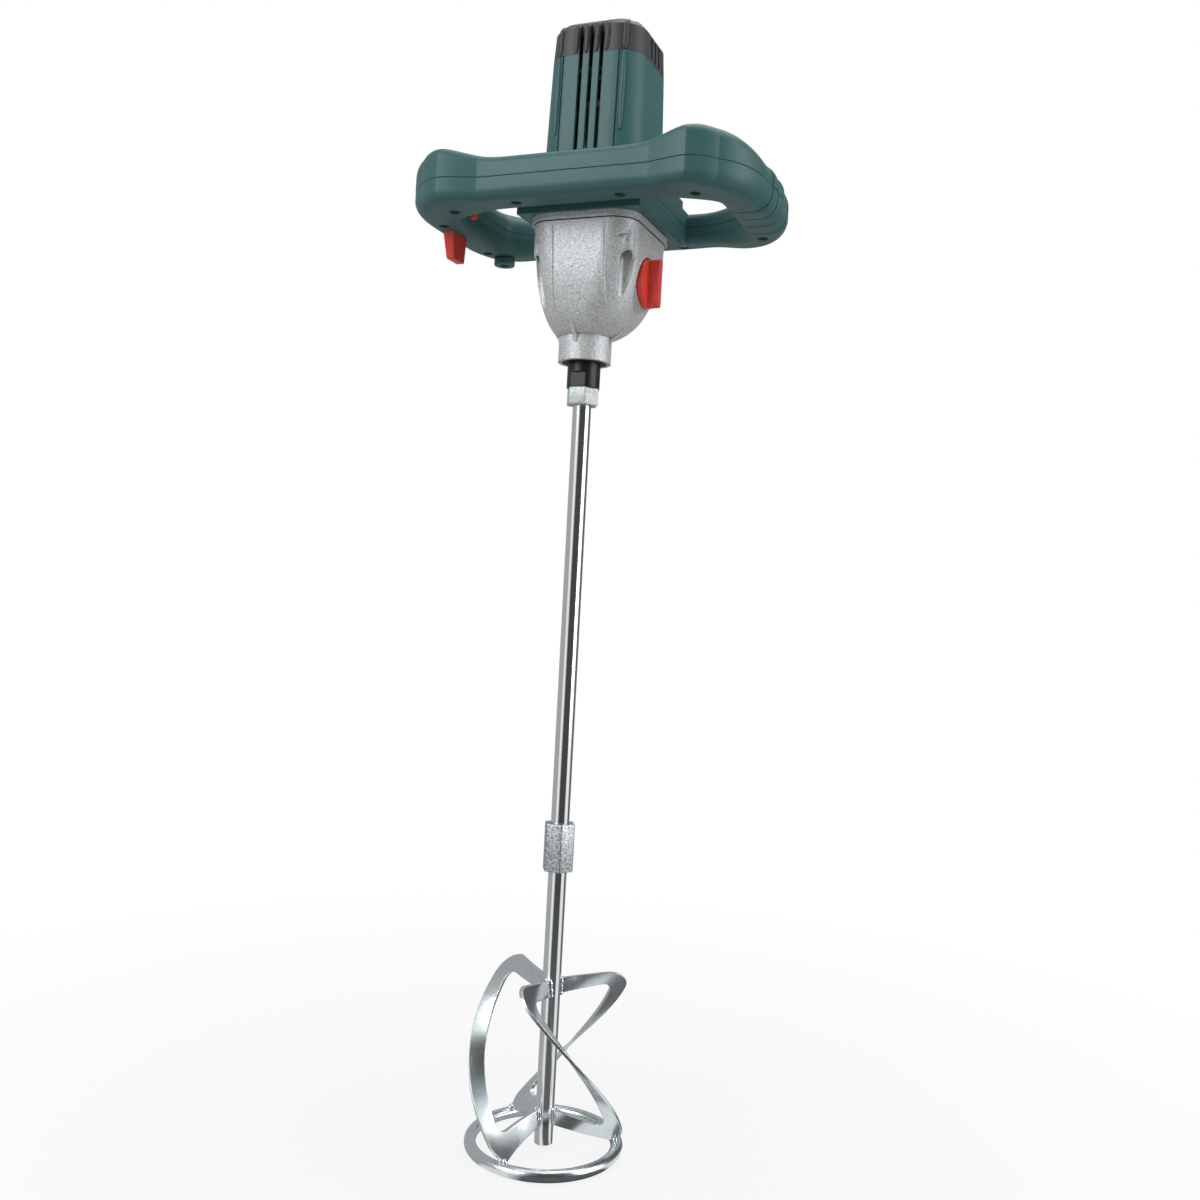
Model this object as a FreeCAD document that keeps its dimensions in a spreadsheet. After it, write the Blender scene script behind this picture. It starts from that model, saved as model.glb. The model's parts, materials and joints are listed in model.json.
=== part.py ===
import FreeCAD, Part
import math
import os
from types import SimpleNamespace

import Sketcher
from FreeCAD import Placement, Rotation, Vector

# Driving dimensions of the mixing drill, in millimetres.
LENGTHS = {
    # Paddle
    "ring_outer_d": 120, "ring_bar_d": 9, "shaft_d": 14, "shaft_foot": 4, "weld_fit": 0.02,
    "sleeve_low": 210, "sleeve_len": 36, "sleeve_flats": 21.5, "paddle_len": 575, "nut_len": 13,
    "nut_flats": 22, "thread_len": 18, "blade_reach": 59.5, "blade_width": 12, "blade_plate": 3,
    "blade_top": 130, "blade_low": 16, "blade_top_rise": 8, "blade_low_drop": 9, "blade_corner": 6,
    "blade_seat": 8, "blade_round": 15, "blade_inner_round": 7, "blade_foot_round": 12,
    # Spindle
    "spindle_offset": 8, "spindle_d": 25, "spindle_show": 19, "flat_len": 11, "spindle_flats": 22,
    "journal_d": 17, "collar_seat_d": 20, "gear_seat_d": 16, "top_journal_d": 12, "socket_spare": 2,
    "key_width": 4, "key_proud": 1.2, "running_fit": 0.05, "slide_fit": 0.15,
    # Gearbox
    "nose_d": 40, "nose_len": 19, "seal_d": 34, "seal_len": 6, "bearing_d": 35, "bearing_len": 10,
    "seat_gap": 1, "low_gear_lift": 18, "low_gear_width": 9, "gear_gap": 1, "collar_len": 17,
    "dog_len": 3, "dog_gap": 0.5, "high_gear_width": 7.5, "bridge_gap": 2, "bridge_plate": 5,
    "first_gear_width": 6, "first_module": 1, "second_module": 1, "backlash": 0.1, "gear_room": 0.5,
    "box_wall": 4, "box_half_x": 41, "box_corner": 18, "bridge_ledge": 2,
    "box_screw_x": 33, "box_screw_y": 31, "box_screw_d": 5, "box_screw_head_d": 8.6,
    "box_screw_head": 4.5, "box_screw_seat": 16, "box_column_d": 13, "box_column_len": 34, "lug_groove_d": 13,
    "lug_groove_out": 2.5, "lug_groove_wall": 2, "screw_room": 0.35,
    "cover_plate": 5, "cover_lip": 1.5, "cover_hub": 4, "cover_hub_d": 28,
    "lay_shaft_d": 8, "bush_wall": 2, "bush_len": 8, "bush_boss": 3,
    # Selector
    "collar_d": 30, "groove_d": 22, "groove_width": 4, "dog_inner_d": 19, "dog_outer_d": 26,
    "selector_throw": 2.5, "selector_shaft_d": 10, "selector_pin_d": 4, "selector_pin_len": 8,
    "selector_boss_d": 40, "selector_boss_back": 4, "knob_d": 36, "knob_disc": 4, "knob_gap": 0.3,
    "knob_bar_width": 8, "knob_bar_proud": 8, "fork_gap": 0.3, "fork_arm_width": 12,
    "fork_rim": 3, "fork_block": 6, "fork_block_height": 12, "fork_slot_room": 0.75,
    "guide_pin_d": 5, "guide_x": 20, "guide_y": 20, "guide_hub_d": 11, "guide_hub_len": 8,
    # Motor
    "armature_shaft_d": 8, "lower_bearing_d": 22, "lower_bearing_len": 7, "upper_bearing_d": 19,
    "upper_bearing_len": 6, "fan_lift": 7, "fan_len": 10, "fan_d": 62, "fan_disc": 2, "fan_hub_d": 18,
    "fan_blade": 2, "core_gap": 2, "winding_len": 8, "core_len": 50, "core_d": 39.6, "core_slot": 3,
    "core_slot_depth": 7, "air_gap": 0.7, "stator_d": 64, "stator_over": 4, "yoke_width": 4.5,
    "coil_gap": 1.2, "coil_over": 6, "winding_d": 32, "commutator_gap": 4, "commutator_len": 13,
    "commutator_d": 22, "commutator_slot": 0.8, "commutator_depth": 2, "spider_gap": 4, "spider_len": 12,
    "spider_plate": 3, "spider_hub_d": 25, "vent_hole_d": 9, "vent_circle_d": 44,
    "brush_width": 6, "brush_height": 8, "brush_len": 14, "holder_wall": 2, "holder_len": 20,
    "holder_height": 16, "brush_gap": 0.3,
    # Casing
    "case_wall": 3, "stator_room": 1.7, "barrel_draft": 3.8, "barrel_corner": 20, "flange_len": 6,
    "flange_lip": 2.3, "rib_width": 5, "vent_slot": 3, "vent_pitch": 8, "vent_lift": 20,
    "panel_groove": 1.2, "panel_groove_depth": 0.9, "panel_groove_x": 22,
    "cap_len": 25, "cap_shoulder": 20, "cap_shoulder_draft": 1, "cap_edge": 4.5,
    "cap_screw_out": 25, "cap_screw_d": 3.6, "cap_screw_head_d": 7, "cap_screw_head": 3,
    "cap_column_d": 9, "cap_screw_sunk": 1,
    # Loop handle
    "handle_lower": 17, "handle_upper": 17, "grip_width": 36, "grip_round": 13, "hand_gap": 51.2,
    "centre_room": 4.3, "bar_room": 7.5, "rear_reach": 5, "knuckle_out": 6, "knuckle_up": 7,
    "case_screw_d": 3.8, "case_screw_head_d": 7.4, "case_screw_head": 3, "case_screw_sunk": 9,
    "case_screw_reach": 10, "case_boss_d": 11, "part_gap": 0.3, "seam": 0.4, "grip_groove": 1.4,
    "grip_groove_depth": 0.9,
    # Switch, trigger, lock and cord inlet
    "trigger_width": 10, "trigger_tip_width": 7, "trigger_len": 23, "trigger_tip_len": 17,
    "trigger_drop": 19, "trigger_lip": 1.5, "trigger_lip_plate": 2, "trigger_travel": 6,
    "trigger_y": -9, "trigger_stop": 0.7, "trigger_seat": 1.2, "switch_width": 18, "switch_height": 13,
    "switch_len": 52, "switch_shift": 3, "switch_y": 0.5, "cradle_rib": 3, "cradle_width": 16, "lock_d": 6,
    "lock_flange_d": 8, "lock_flange": 1.5, "lock_proud": 3, "lock_drop": 6, "lock_y": 20,
    "lock_depth": 5.3, "inlet_d": 17, "inlet_neck_d": 13, "inlet_proud": 6, "inlet_bore_d": 8,
    "overrun": 1,
}

# Tooth counts, angles and shares, which don't grow with the tool.
PINION_TEETH = 8
FIRST_GEAR_TEETH = 36
LOW_PINION_TEETH = 10
LOW_GEAR_TEETH = 37
HIGH_PINION_TEETH = 14
HIGH_GEAR_TEETH = 33
PRESSURE_ANGLE = math.radians(25)
PINION_ADDENDUM_SHARE = 1.0
GEAR_ADDENDUM_SHARE = 0.5
ROOT_SPARE_SHARE = 0.25
FLANK_POINTS = 5
HEX_CORNER_SHARE = 1 / math.sqrt(3)
DOG_COUNT = 3
DOG_HALF_ANGLE = 18
DOG_SPARE_ANGLE = 2
KEY_COUNT = 4
BLADE_ANGLES = (30, 150, 270)
BLADE_SWEEP = 105
BLADE_SECTIONS = 9
LUG_SLANT = 45
CORE_SLOTS = 12
COMMUTATOR_BARS = 24
FAN_BLADES = 9
POLE_HALF_ANGLE = 36
COIL_HALF_ANGLE = 64
VENT_HOLES = 6
FORK_HALF_ANGLE = 70
LOOP_SECTIONS = 40
GROOVE_ANGLES = (-8, 0, 8, 16)
LOOP_POWER = 4.5
KNUCKLE_ANGLES = (-33, -147)
KNUCKLE_SPREAD = 10
KNUCKLE_POWER = 2
KNUCKLE_CRISP_SHARE = 0.35
CASE_SCREW_ANGLES = (-147, -121, -59, -33, -164, 121, 59, 161, 22)
INLET_ANGLE = 153
BELL_HEIGHT_SHARES = (0, 0.10, 0.25, 0.48, 1)
BELL_WIDTH_SHARES = (0, 0.40, 0.68, 0.88, 1)
BELL_FLAT_SHARES = (0.05, 0.2, 0.4, 0.62, 1)
FRONT_BAR_SHARES = (0.10, 0.15)
REAR_BAR_SHARES = (0.30, 0.33)
BAR_END_SHARE = 0.9
BAR_BLEND_SHARE = 0.35
BAR_CRISP_SHARE = 0.45
TURN_STEP_SHARE = 0.0001

ALONG_Z = Rotation()
ALONG_X = Rotation(Vector(0, 1, 0), 90)
ALONG_Y = Rotation(Vector(1, 0, 0), -90)
UP = Vector(0, 0, 1)

doc = FreeCAD.newDocument("MixingDrill")
sheet = doc.addObject("Spreadsheet::Sheet", "Sizes")
nodes = []


def text_of(size):
    """The formula of a size, or the number itself."""
    return size.text if isinstance(size, Size) else repr(size)


class Size(float):
    """A length that remembers the sheet formula it comes from."""

    def __new__(cls, value, text):
        size = super().__new__(cls, value)
        size.text = text
        return size

    def joined(self, sign, other, value):
        return Size(value, "(%s %s %s)" % (text_of(self), sign, text_of(other)))

    def __add__(self, other):
        return self.joined("+", other, float(self) + float(other))

    def __sub__(self, other):
        return self.joined("-", other, float(self) - float(other))

    def __mul__(self, other):
        return self.joined("*", other, float(self) * float(other))

    def __truediv__(self, other):
        return self.joined("/", other, float(self) / float(other))

    def __neg__(self):
        return Size(-float(self), "(0 - %s)" % self.text)

    def __rmul__(self, other):
        return self * other

    def root(self):
        return Size(math.sqrt(float(self)), "sqrt(%s)" % self.text)


def read_sizes():
    """Puts the driving dimensions into the sheet and hands them back by name."""
    for row, (name, value) in enumerate(LENGTHS.items(), 1):
        sheet.set("A%d" % row, name)
        sheet.set("B%d" % row, str(value))
        sheet.setAlias("B%d" % row, name)
    doc.recompute()
    return SimpleNamespace(**{name: Size(float(sheet.get(name)), "Sizes." + name) for name in LENGTHS})


s = read_sizes()

# Heights, from the ring's underside up.
z_spindle = s.paddle_len
z_nose = z_spindle + s.spindle_show
z_box = z_nose + s.nose_len
z_low = z_box + s.low_gear_lift
z_collar = z_low + s.low_gear_width + s.gear_gap
selector_travel = s.selector_throw * 2
z_high = z_collar + s.collar_len + s.dog_len + selector_travel + s.dog_gap
z_bridge = z_high + s.high_gear_width + s.bridge_gap
z_first = z_bridge + s.bridge_plate + s.bridge_gap
z_cover = z_first + s.first_gear_width + s.gear_gap
z_handle = z_cover + s.cover_plate
z_parting = z_handle + s.handle_lower
z_roof = z_parting + s.handle_upper
z_fan = z_handle + s.fan_lift
z_core = z_fan + s.fan_len + s.winding_len + s.core_gap
z_core_top = z_core + s.core_len
z_commutator = z_core_top + s.winding_len + s.commutator_gap
z_spider = z_commutator + s.commutator_len + s.spider_gap
z_cap = z_spider + s.spider_len
z_top = z_cap + s.cap_len
z_selector = z_collar + s.collar_len / 2 + s.selector_throw

# Places of the axes: the motor stands at the origin, the spindle to its left, the layshaft behind both.
spindle_x = -s.spindle_offset
first_distance = s.first_module * (PINION_TEETH + FIRST_GEAR_TEETH) / 2
second_distance = s.second_module * (LOW_PINION_TEETH + LOW_GEAR_TEETH) / 2
lay_reach = (second_distance * second_distance - first_distance * first_distance
             + s.spindle_offset * s.spindle_offset) / (s.spindle_offset * 2)
lay_x = spindle_x + lay_reach
lay_y = (second_distance * second_distance - lay_reach * lay_reach).root()
first_gear_tip = s.first_module * (FIRST_GEAR_TEETH / 2 + GEAR_ADDENDUM_SHARE)

# Half sizes of the casings.
box_x = Size(0, "0")
box_half_y = lay_y + first_gear_tip + s.gear_room + s.box_wall
barrel_top_half = s.stator_d / 2 + s.stator_room + s.case_wall
barrel_base_half = barrel_top_half + s.barrel_draft
centre_half = barrel_base_half + s.centre_room + s.case_wall
grip_half = s.grip_width / 2
loop_x = centre_half + s.hand_gap + grip_half
loop_y = barrel_base_half + s.bar_room + grip_half


def bind(obj, prop, size):
    """Ties a property to the sheet, or sets it where it is a plain number."""
    if isinstance(size, Size):
        obj.setExpression(prop, size.text)


def place(obj, x, y, z, turn=ALONG_Z):
    obj.Placement = Placement(Vector(x, y, z), turn)
    for axis, size in zip("xyz", (x, y, z)):
        bind(obj, "Placement.Base." + axis, size)
    return obj


def cylinder(name, radius, length, x=0, y=0, z=0, turn=ALONG_Z):
    obj = doc.addObject("Part::Cylinder", name)
    bind(obj, "Radius", radius)
    bind(obj, "Height", length)
    return place(obj, x, y, z, turn)


def sector(name, radius, length, middle, half_angle, x, y, z):
    """A slice of a cylinder, half_angle degrees to each side of the direction middle."""
    obj = cylinder(name, radius, length, x, y, z, Rotation(UP, middle - half_angle))
    obj.Angle = 2 * half_angle
    return obj


def tube(name, outer, inner, length, x=0, y=0, z=0, turn=ALONG_Z):
    wall = cylinder(name + "_wall", outer, length, x, y, z, turn)
    hole = cylinder(name + "_hole", inner, length, x, y, z, turn)
    return cut(name, wall, hole)


def box(name, length, width, height, x, y, z):
    """A block centred on x and y that stands on z."""
    obj = doc.addObject("Part::Box", name)
    bind(obj, "Length", length)
    bind(obj, "Width", width)
    bind(obj, "Height", height)
    return place(obj, x - length / 2 if x else -length / 2, y - width / 2 if y else -width / 2, z)


def hexagon(name, across_flats, length, x, y, z):
    obj = doc.addObject("Part::Prism", name)
    obj.Polygon = 6
    bind(obj, "Circumradius", across_flats * HEX_CORNER_SHARE)
    bind(obj, "Height", length)
    return place(obj, x, y, z)


def fuse(name, *pieces):
    obj = doc.addObject("Part::MultiFuse", name)
    obj.Shapes = list(pieces)
    return obj


def cut(name, base, *tools):
    obj = doc.addObject("Part::Cut", name)
    obj.Base = base
    obj.Tool = tools[0] if len(tools) == 1 else fuse(name + "_tools", *tools)
    return obj


def group(name, pieces):
    obj = doc.addObject("Part::Compound", name)
    obj.Links = pieces
    return obj


def formed(name, shape):
    obj = doc.addObject("Part::Feature", name)
    obj.Shape = shape
    return obj


def node(label, obj):
    """Names a finished sub-part."""
    obj.Label = label
    nodes.append(obj)
    return obj


def plane_of(body, role):
    return [feature for feature in body.Origin.OriginFeatures if feature.Role == role][0]


def sketch_on(body, name, role):
    sketch = body.newObject("Sketcher::SketchObject", name)
    sketch.AttachmentSupport = [(plane_of(body, role), "")]
    sketch.MapMode = "FlatFace"
    return sketch


def draw_outline(sketch, points):
    """A closed outline whose corners are tied to the sheet."""
    count = len(points)
    for index, corner in enumerate(points):
        after = points[(index + 1) % count]
        sketch.addGeometry(Part.LineSegment(Vector(*corner, 0), Vector(*after, 0)), False)
    for index in range(count):
        sketch.addConstraint(Sketcher.Constraint("Coincident", index, 2, (index + 1) % count, 1))
    for index, corner in enumerate(points):
        for kind, axis, size in (("DistanceX", -2, corner[0]), ("DistanceY", -1, corner[1])):
            if isinstance(size, Size):
                held = sketch.addConstraint(Sketcher.Constraint(kind, -1, 1, index, 1, float(size)))
                sketch.setExpression("Constraints[%d]" % held, size.text)
            else:
                sketch.addConstraint(Sketcher.Constraint("PointOnObject", index, 1, axis))


def draw_circle(sketch, radius):
    circle = sketch.addGeometry(Part.Circle(Vector(), UP, float(radius)), False)
    sketch.addConstraint(Sketcher.Constraint("Coincident", circle, 3, -1, 1))
    held = sketch.addConstraint(Sketcher.Constraint("Radius", circle, float(radius)))
    sketch.setExpression("Constraints[%d]" % held, radius.text)


def turned(name, outline, x=0, y=0, z=0):
    """A lathe-turned body: outline holds (radius, height) corners above z."""
    body = doc.addObject("PartDesign::Body", name)
    sketch = sketch_on(body, name + "_outline", "XZ_Plane")
    draw_outline(sketch, outline)
    spin = body.newObject("PartDesign::Revolution", name + "_turn")
    spin.Profile = sketch
    spin.ReferenceAxis = (sketch, ["V_Axis"])
    spin.Angle = 360
    return place(body, x, y, z)


def padded_disc(body, name, radius, length):
    sketch = sketch_on(body, name + "_circle", "XY_Plane")
    draw_circle(sketch, radius)
    pad = body.newObject("PartDesign::Pad", name + "_pad")
    pad.Profile = sketch
    bind(pad, "Length", length)
    return pad


def repeated(body, name, feature, count):
    """Repeats a feature round the body's axis."""
    pattern = body.newObject("PartDesign::PolarPattern", name + "_pattern")
    pattern.Originals = [feature]
    pattern.Axis = (feature.Profile[0], ["N_Axis"])
    pattern.Angle = 360
    pattern.Occurrences = count
    body.Tip = pattern


def slotted_disc(name, radius, length, slot_width, slot_depth, count, z):
    """A disc with open slots cut into its rim, such as laminations or commutator bars."""
    body = doc.addObject("PartDesign::Body", name)
    padded_disc(body, name, radius, length)
    sketch = sketch_on(body, name + "_slot", "XY_Plane")
    inner = radius - slot_depth
    outer = radius + s.overrun
    half = slot_width / 2
    draw_outline(sketch, [(inner, -half), (outer, -half), (outer, half), (inner, half)])
    doc.recompute()
    pocket = body.newObject("PartDesign::Pocket", name + "_pocket")
    pocket.Profile = sketch
    pocket.Type = "ThroughAll"
    pocket.Reversed = True
    repeated(body, name, pocket, count)
    return place(body, 0, 0, z)


def rounded_wire(x, y, half_x, half_y, corner, z):
    """A rounded rectangle at height z, as four lines and four arcs."""
    edges = []
    ends = [(1, -1), (1, 1), (-1, 1), (-1, -1)]
    lean = math.sqrt(0.5)
    arcs = []
    for sign_x, sign_y in ends:
        centre = Vector(x + sign_x * (half_x - corner), y + sign_y * (half_y - corner), z)
        to_x = centre + Vector(sign_x * corner, 0, 0)
        to_y = centre + Vector(0, sign_y * corner, 0)
        middle = centre + Vector(sign_x * corner * lean, sign_y * corner * lean, 0)
        first, last = (to_y, to_x) if sign_x * sign_y < 0 else (to_x, to_y)
        arcs.append((first, middle, last))
    for index, (first, middle, last) in enumerate(arcs):
        edges.append(Part.Arc(first, middle, last).toShape())
        edges.append(Part.LineSegment(last, arcs[(index + 1) % len(arcs)][0]).toShape())
    return Part.Wire(edges)


def rounded_block(half_x, half_y, corner, z, length, x=0, y=0):
    return Part.Face(rounded_wire(x, y, half_x, half_y, corner, z)).extrude(Vector(0, 0, length))


def post(radius, length, x, y, z, axis=UP):
    return Part.makeCylinder(radius, length, Vector(x, y, z), axis)


def involute_point(base, radius, middle, half_thick):
    """A point of a tooth flank at a radius; half_thick is the half tooth angle on the base circle."""
    spread = math.sqrt(max((radius / base) ** 2 - 1, 0))
    angle = half_thick - (spread - math.atan(spread))
    return Vector(radius * math.cos(middle + angle), radius * math.sin(middle + angle), 0)


def gear_shape(teeth, module, width, bore, phase, addendum_share, mate_share):
    """A spur gear with involute flanks, a tooth standing at the angle phase."""
    pitch = module * teeth / 2
    base = pitch * math.cos(PRESSURE_ANGLE)
    tip = pitch + module * addendum_share
    foot = pitch - module * (mate_share + ROOT_SPARE_SHARE)
    lead = math.tan(PRESSURE_ANGLE) - PRESSURE_ANGLE
    half_thick = math.pi / (2 * teeth) - s.backlash / pitch + lead
    start = max(base, foot)
    radii = [start + (tip - start) * step / (FLANK_POINTS - 1) for step in range(FLANK_POINTS)]
    edges = []
    first_point = None
    last_point = None
    for tooth in range(teeth):
        middle = phase + 2 * math.pi * tooth / teeth
        upper = [involute_point(base, radius, middle, half_thick) for radius in radii]
        lower = [involute_point(base, radius, middle, half_thick) for radius in radii]
        mirror = Rotation(UP, math.degrees(2 * middle))
        lower = [mirror.multVec(Vector(point.x, -point.y, 0)) for point in lower]
        if foot < base:
            lower.insert(0, lower[0] * (foot / start))
            upper.insert(0, upper[0] * (foot / start))
        if last_point is None:
            first_point = lower[0]
        else:
            edges.append(Part.LineSegment(last_point, lower[0]).toShape())
        flank_low = lower[1:] if foot < base else lower
        flank_high = upper[1:] if foot < base else upper
        if foot < base:
            edges.append(Part.LineSegment(lower[0], lower[1]).toShape())
        rise = Part.BSplineCurve()
        rise.interpolate(flank_low)
        edges.append(rise.toShape())
        crown = Vector(tip * math.cos(middle), tip * math.sin(middle), 0)
        edges.append(Part.Arc(flank_low[-1], crown, flank_high[-1]).toShape())
        fall = Part.BSplineCurve()
        fall.interpolate(list(reversed(flank_high)))
        edges.append(fall.toShape())
        if foot < base:
            edges.append(Part.LineSegment(upper[1], upper[0]).toShape())
        last_point = upper[0]
    edges.append(Part.LineSegment(last_point, first_point).toShape())
    solid = Part.Face(Part.Wire(edges)).extrude(Vector(0, 0, width))
    if bore:
        solid = solid.cut(post(bore, width + 2 * s.overrun, 0, 0, -s.overrun))
    return solid


def tooth_phase(own, other, teeth, is_gear):
    """The angle of a tooth so that pinion teeth stand in gear gaps on the line between two axes."""
    line = math.atan2(other[1] - own[1], other[0] - own[0])
    return line + math.pi / teeth if is_gear else line


# Paddle
def make_paddle():
    shaft_r = s.shaft_d / 2
    ring = doc.addObject("Part::Torus", "ring_bar")
    bind(ring, "Radius1", (s.ring_outer_d - s.ring_bar_d) / 2)
    bind(ring, "Radius2", s.ring_bar_d / 2)
    node("paddle_ring", place(ring, spindle_x, 0, s.ring_bar_d / 2))
    sleeve_middle = s.sleeve_low + s.sleeve_len / 2
    lower_len = sleeve_middle - s.shaft_foot
    node("lower_shaft", cylinder("rod_lower", shaft_r, lower_len, spindle_x, 0, s.shaft_foot))
    upper_len = s.paddle_len + s.thread_len - sleeve_middle
    node("upper_shaft", cylinder("rod_upper", shaft_r, upper_len, spindle_x, 0, sleeve_middle))
    for label, flats, length, z in (
        ("coupling_sleeve", s.sleeve_flats, s.sleeve_len, s.sleeve_low),
        ("hex_nut", s.nut_flats, s.nut_len, s.paddle_len - s.nut_len),
    ):
        bar = hexagon(label + "_bar", flats, length, spindle_x, 0, z)
        hole = cylinder(label + "_bore", shaft_r + s.weld_fit, length, spindle_x, 0, z)
        node(label, cut(label + "_solid", bar, hole))
    for number, angle in enumerate(BLADE_ANGLES, 1):
        node("blade_%d" % number, formed("blade_solid_%d" % number, blade_shape(angle, shaft_r)))


def rounded_outline(corners):
    """A closed wire in the XZ plane through corners given as x, z and the radius of the rounding."""
    points = [Vector(x, 0, z) for x, z, radius in corners]
    bends = []
    for index, (x, z, radius) in enumerate(corners):
        point = points[index]
        before = points[index - 1] - point
        after = points[(index + 1) % len(points)] - point
        half_angle = before.getAngle(after) / 2
        before.normalize()
        after.normalize()
        inward = before + after
        inward.normalize()
        reach = radius / math.tan(half_angle)
        depth = radius / math.sin(half_angle) - radius
        bends.append((point + before * reach, point + inward * depth, point + after * reach))
    edges = []
    for index, (start, middle, end) in enumerate(bends):
        if corners[index][2] > 0:
            edges.append(Part.Arc(start, middle, end).toShape())
        edges.append(Part.LineSegment(end, bends[(index + 1) % len(bends)][0]).toShape())
    return Part.Wire(edges)


def blade_shape(top_angle, shaft_r):
    """A C-shaped plate twisted about the shaft, welded to the shaft and the ring."""
    start = shaft_r / 2
    lowest = s.blade_seat
    highest = s.blade_top + s.blade_corner
    far = s.blade_reach + s.overrun
    half = s.blade_plate / 2
    sections = []
    for step in range(BLADE_SECTIONS):
        share = step / (BLADE_SECTIONS - 1)
        z = lowest - s.overrun + (highest - lowest + 2 * s.overrun) * share
        turn = Rotation(UP, top_angle + BLADE_SWEEP * (s.blade_top - z) / (s.blade_top - s.blade_low))
        corners = [(start, -half), (far, -half), (far, half), (start, half)]
        corners = [turn.multVec(Vector(x, y, z)) for x, y in corners]
        sections.append(Part.makePolygon(corners + corners[:1]))
    plate = Part.makeLoft(sections, True, False)
    inner = s.blade_reach - s.blade_width
    edge = s.blade_reach - s.blade_corner
    half_width = s.blade_width / 2
    top_root = s.blade_top - s.blade_top_rise
    low_root = s.blade_low + s.blade_low_drop
    outline = [
        (start, top_root + half_width, 0), (s.blade_reach, highest, s.blade_round),
        (s.blade_reach, s.blade_low, s.blade_foot_round), (edge, lowest, 0),
        (start, low_root - half_width, 0), (start, low_root + half_width, 0),
        (inner, s.blade_low + half_width, s.blade_inner_round),
        (inner, s.blade_top - half_width, s.blade_inner_round), (start, top_root - half_width, 0),
    ]
    frame = Part.Face(rounded_outline(outline)).revolve(Vector(), UP, 360)
    rod = post(shaft_r + s.weld_fit, highest, 0, 0, 0)
    ring = Part.makeTorus((s.ring_outer_d - s.ring_bar_d) / 2, s.ring_bar_d / 2 + s.weld_fit,
                          Vector(0, 0, s.ring_bar_d / 2), UP)
    shape = plate.common(frame).cut(rod).cut(ring)
    shape = max(shape.Solids, key=lambda solid: solid.Volume)
    shape.translate(Vector(spindle_x, 0, 0))
    return shape


# Spindle with its seal, bearing and low gear
def make_spindle():
    head = s.spindle_d / 2
    journal = s.journal_d / 2
    shoulder = s.collar_seat_d / 2
    seat = s.gear_seat_d / 2
    top = s.top_journal_d / 2
    socket = s.shaft_d / 2 + s.weld_fit
    socket_top = s.thread_len + s.socket_spare
    seal_top = s.spindle_show + s.seal_len + s.seat_gap
    bearing_top = seal_top + s.bearing_len
    low = z_low - z_spindle
    high_top = z_high + s.high_gear_width - z_spindle
    end = z_bridge + s.bridge_plate - z_spindle
    outline = [
        (socket, 0), (head, 0), (head, seal_top), (journal, seal_top), (journal, bearing_top),
        (shoulder, bearing_top), (shoulder, low), (seat, low), (seat, high_top), (top, high_top),
        (top, end), (0, end), (0, socket_top), (socket, socket_top),
    ]
    bar = turned("spindle_bar", outline, spindle_x, 0, z_spindle)
    cheek = s.spindle_d - s.spindle_flats
    flats = [
        box("spindle_flat_%d" % (side + 1), s.spindle_d * 2, cheek, s.flat_len, spindle_x,
            s.spindle_flats * (side - 0.5) + cheek * (side - 0.5), z_spindle)
        for side in range(2)
    ]
    keys = key_blocks("spindle_key", seat + s.key_proud, s.key_width, s.collar_len + s.dog_len, z_collar)
    node("spindle", cut("spindle_solid", fuse("spindle_keyed", bar, *keys), *flats))

    seal = tube("seal_ring", s.seal_d / 2, head + s.running_fit, s.seal_len, spindle_x, 0, z_nose)
    node("spindle_seal", seal)
    node("spindle_bearing", bearing("spindle_race", s.bearing_d, s.journal_d, s.bearing_len,
                                    spindle_x, 0, z_spindle + seal_top))
    gear = gear_shape(LOW_GEAR_TEETH, s.second_module, s.low_gear_width, seat + s.weld_fit,
                      tooth_phase((spindle_x, 0), (lay_x, lay_y), LOW_GEAR_TEETH, True),
                      GEAR_ADDENDUM_SHARE, PINION_ADDENDUM_SHARE)
    pocket_depth = s.dog_len + s.dog_gap
    gear = gear.cut(dog_ring(s.low_gear_width - pocket_depth, pocket_depth + s.overrun, DOG_SPARE_ANGLE,
                             s.slide_fit))
    low_gear = formed("low_gear_solid", gear)
    node("low_gear", place(low_gear, spindle_x, 0, z_low))


def key_blocks(name, reach, width, length, z):
    """Two bars across the axis, which stand out of a shaft as four keys."""
    along = box(name + "_along", reach * 2, width, length, spindle_x, 0, z)
    across = box(name + "_across", width, reach * 2, length, spindle_x, 0, z)
    return [along, across]


def dog_ring(z, length, spare_angle, spare):
    """The dogs that lock a gear to the collar, as slices of a ring about the axis."""
    half = DOG_HALF_ANGLE + spare_angle
    slices = []
    for number in range(DOG_COUNT):
        wedge = Part.makeCylinder(s.dog_outer_d / 2 + spare, length, Vector(0, 0, z), UP, 2 * half)
        wedge = wedge.cut(post(s.dog_inner_d / 2 - spare, length, 0, 0, z))
        wedge.rotate(Vector(), UP, number * 360 / DOG_COUNT - half)
        slices.append(wedge)
    return slices[0].multiFuse(slices[1:])


def bearing(name, outer_d, bore_d, length, x, y, z):
    """A shielded ball bearing: a ring with a shallow groove round each face."""
    outer = outer_d / 2
    bore = bore_d / 2 + s.running_fit
    rim = (outer_d - bore_d) / 8
    groove = length / 10
    outline = [
        (bore, 0), (bore + rim, 0), (bore + rim, groove), (outer - rim, groove), (outer - rim, 0),
        (outer, 0), (outer, length), (outer - rim, length), (outer - rim, length - groove),
        (bore + rim, length - groove), (bore + rim, length), (bore, length),
    ]
    return turned(name, outline, x, y, z)


# Gearbox housing, cover plate and bearing bridge
def box_screw_places():
    signs = [(side_x, side_y) for side_x in (-1, 1) for side_y in (-1, 1)]
    return [(box_x + side_x * s.box_screw_x, side_y * s.box_screw_y) for side_x, side_y in signs]


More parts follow.
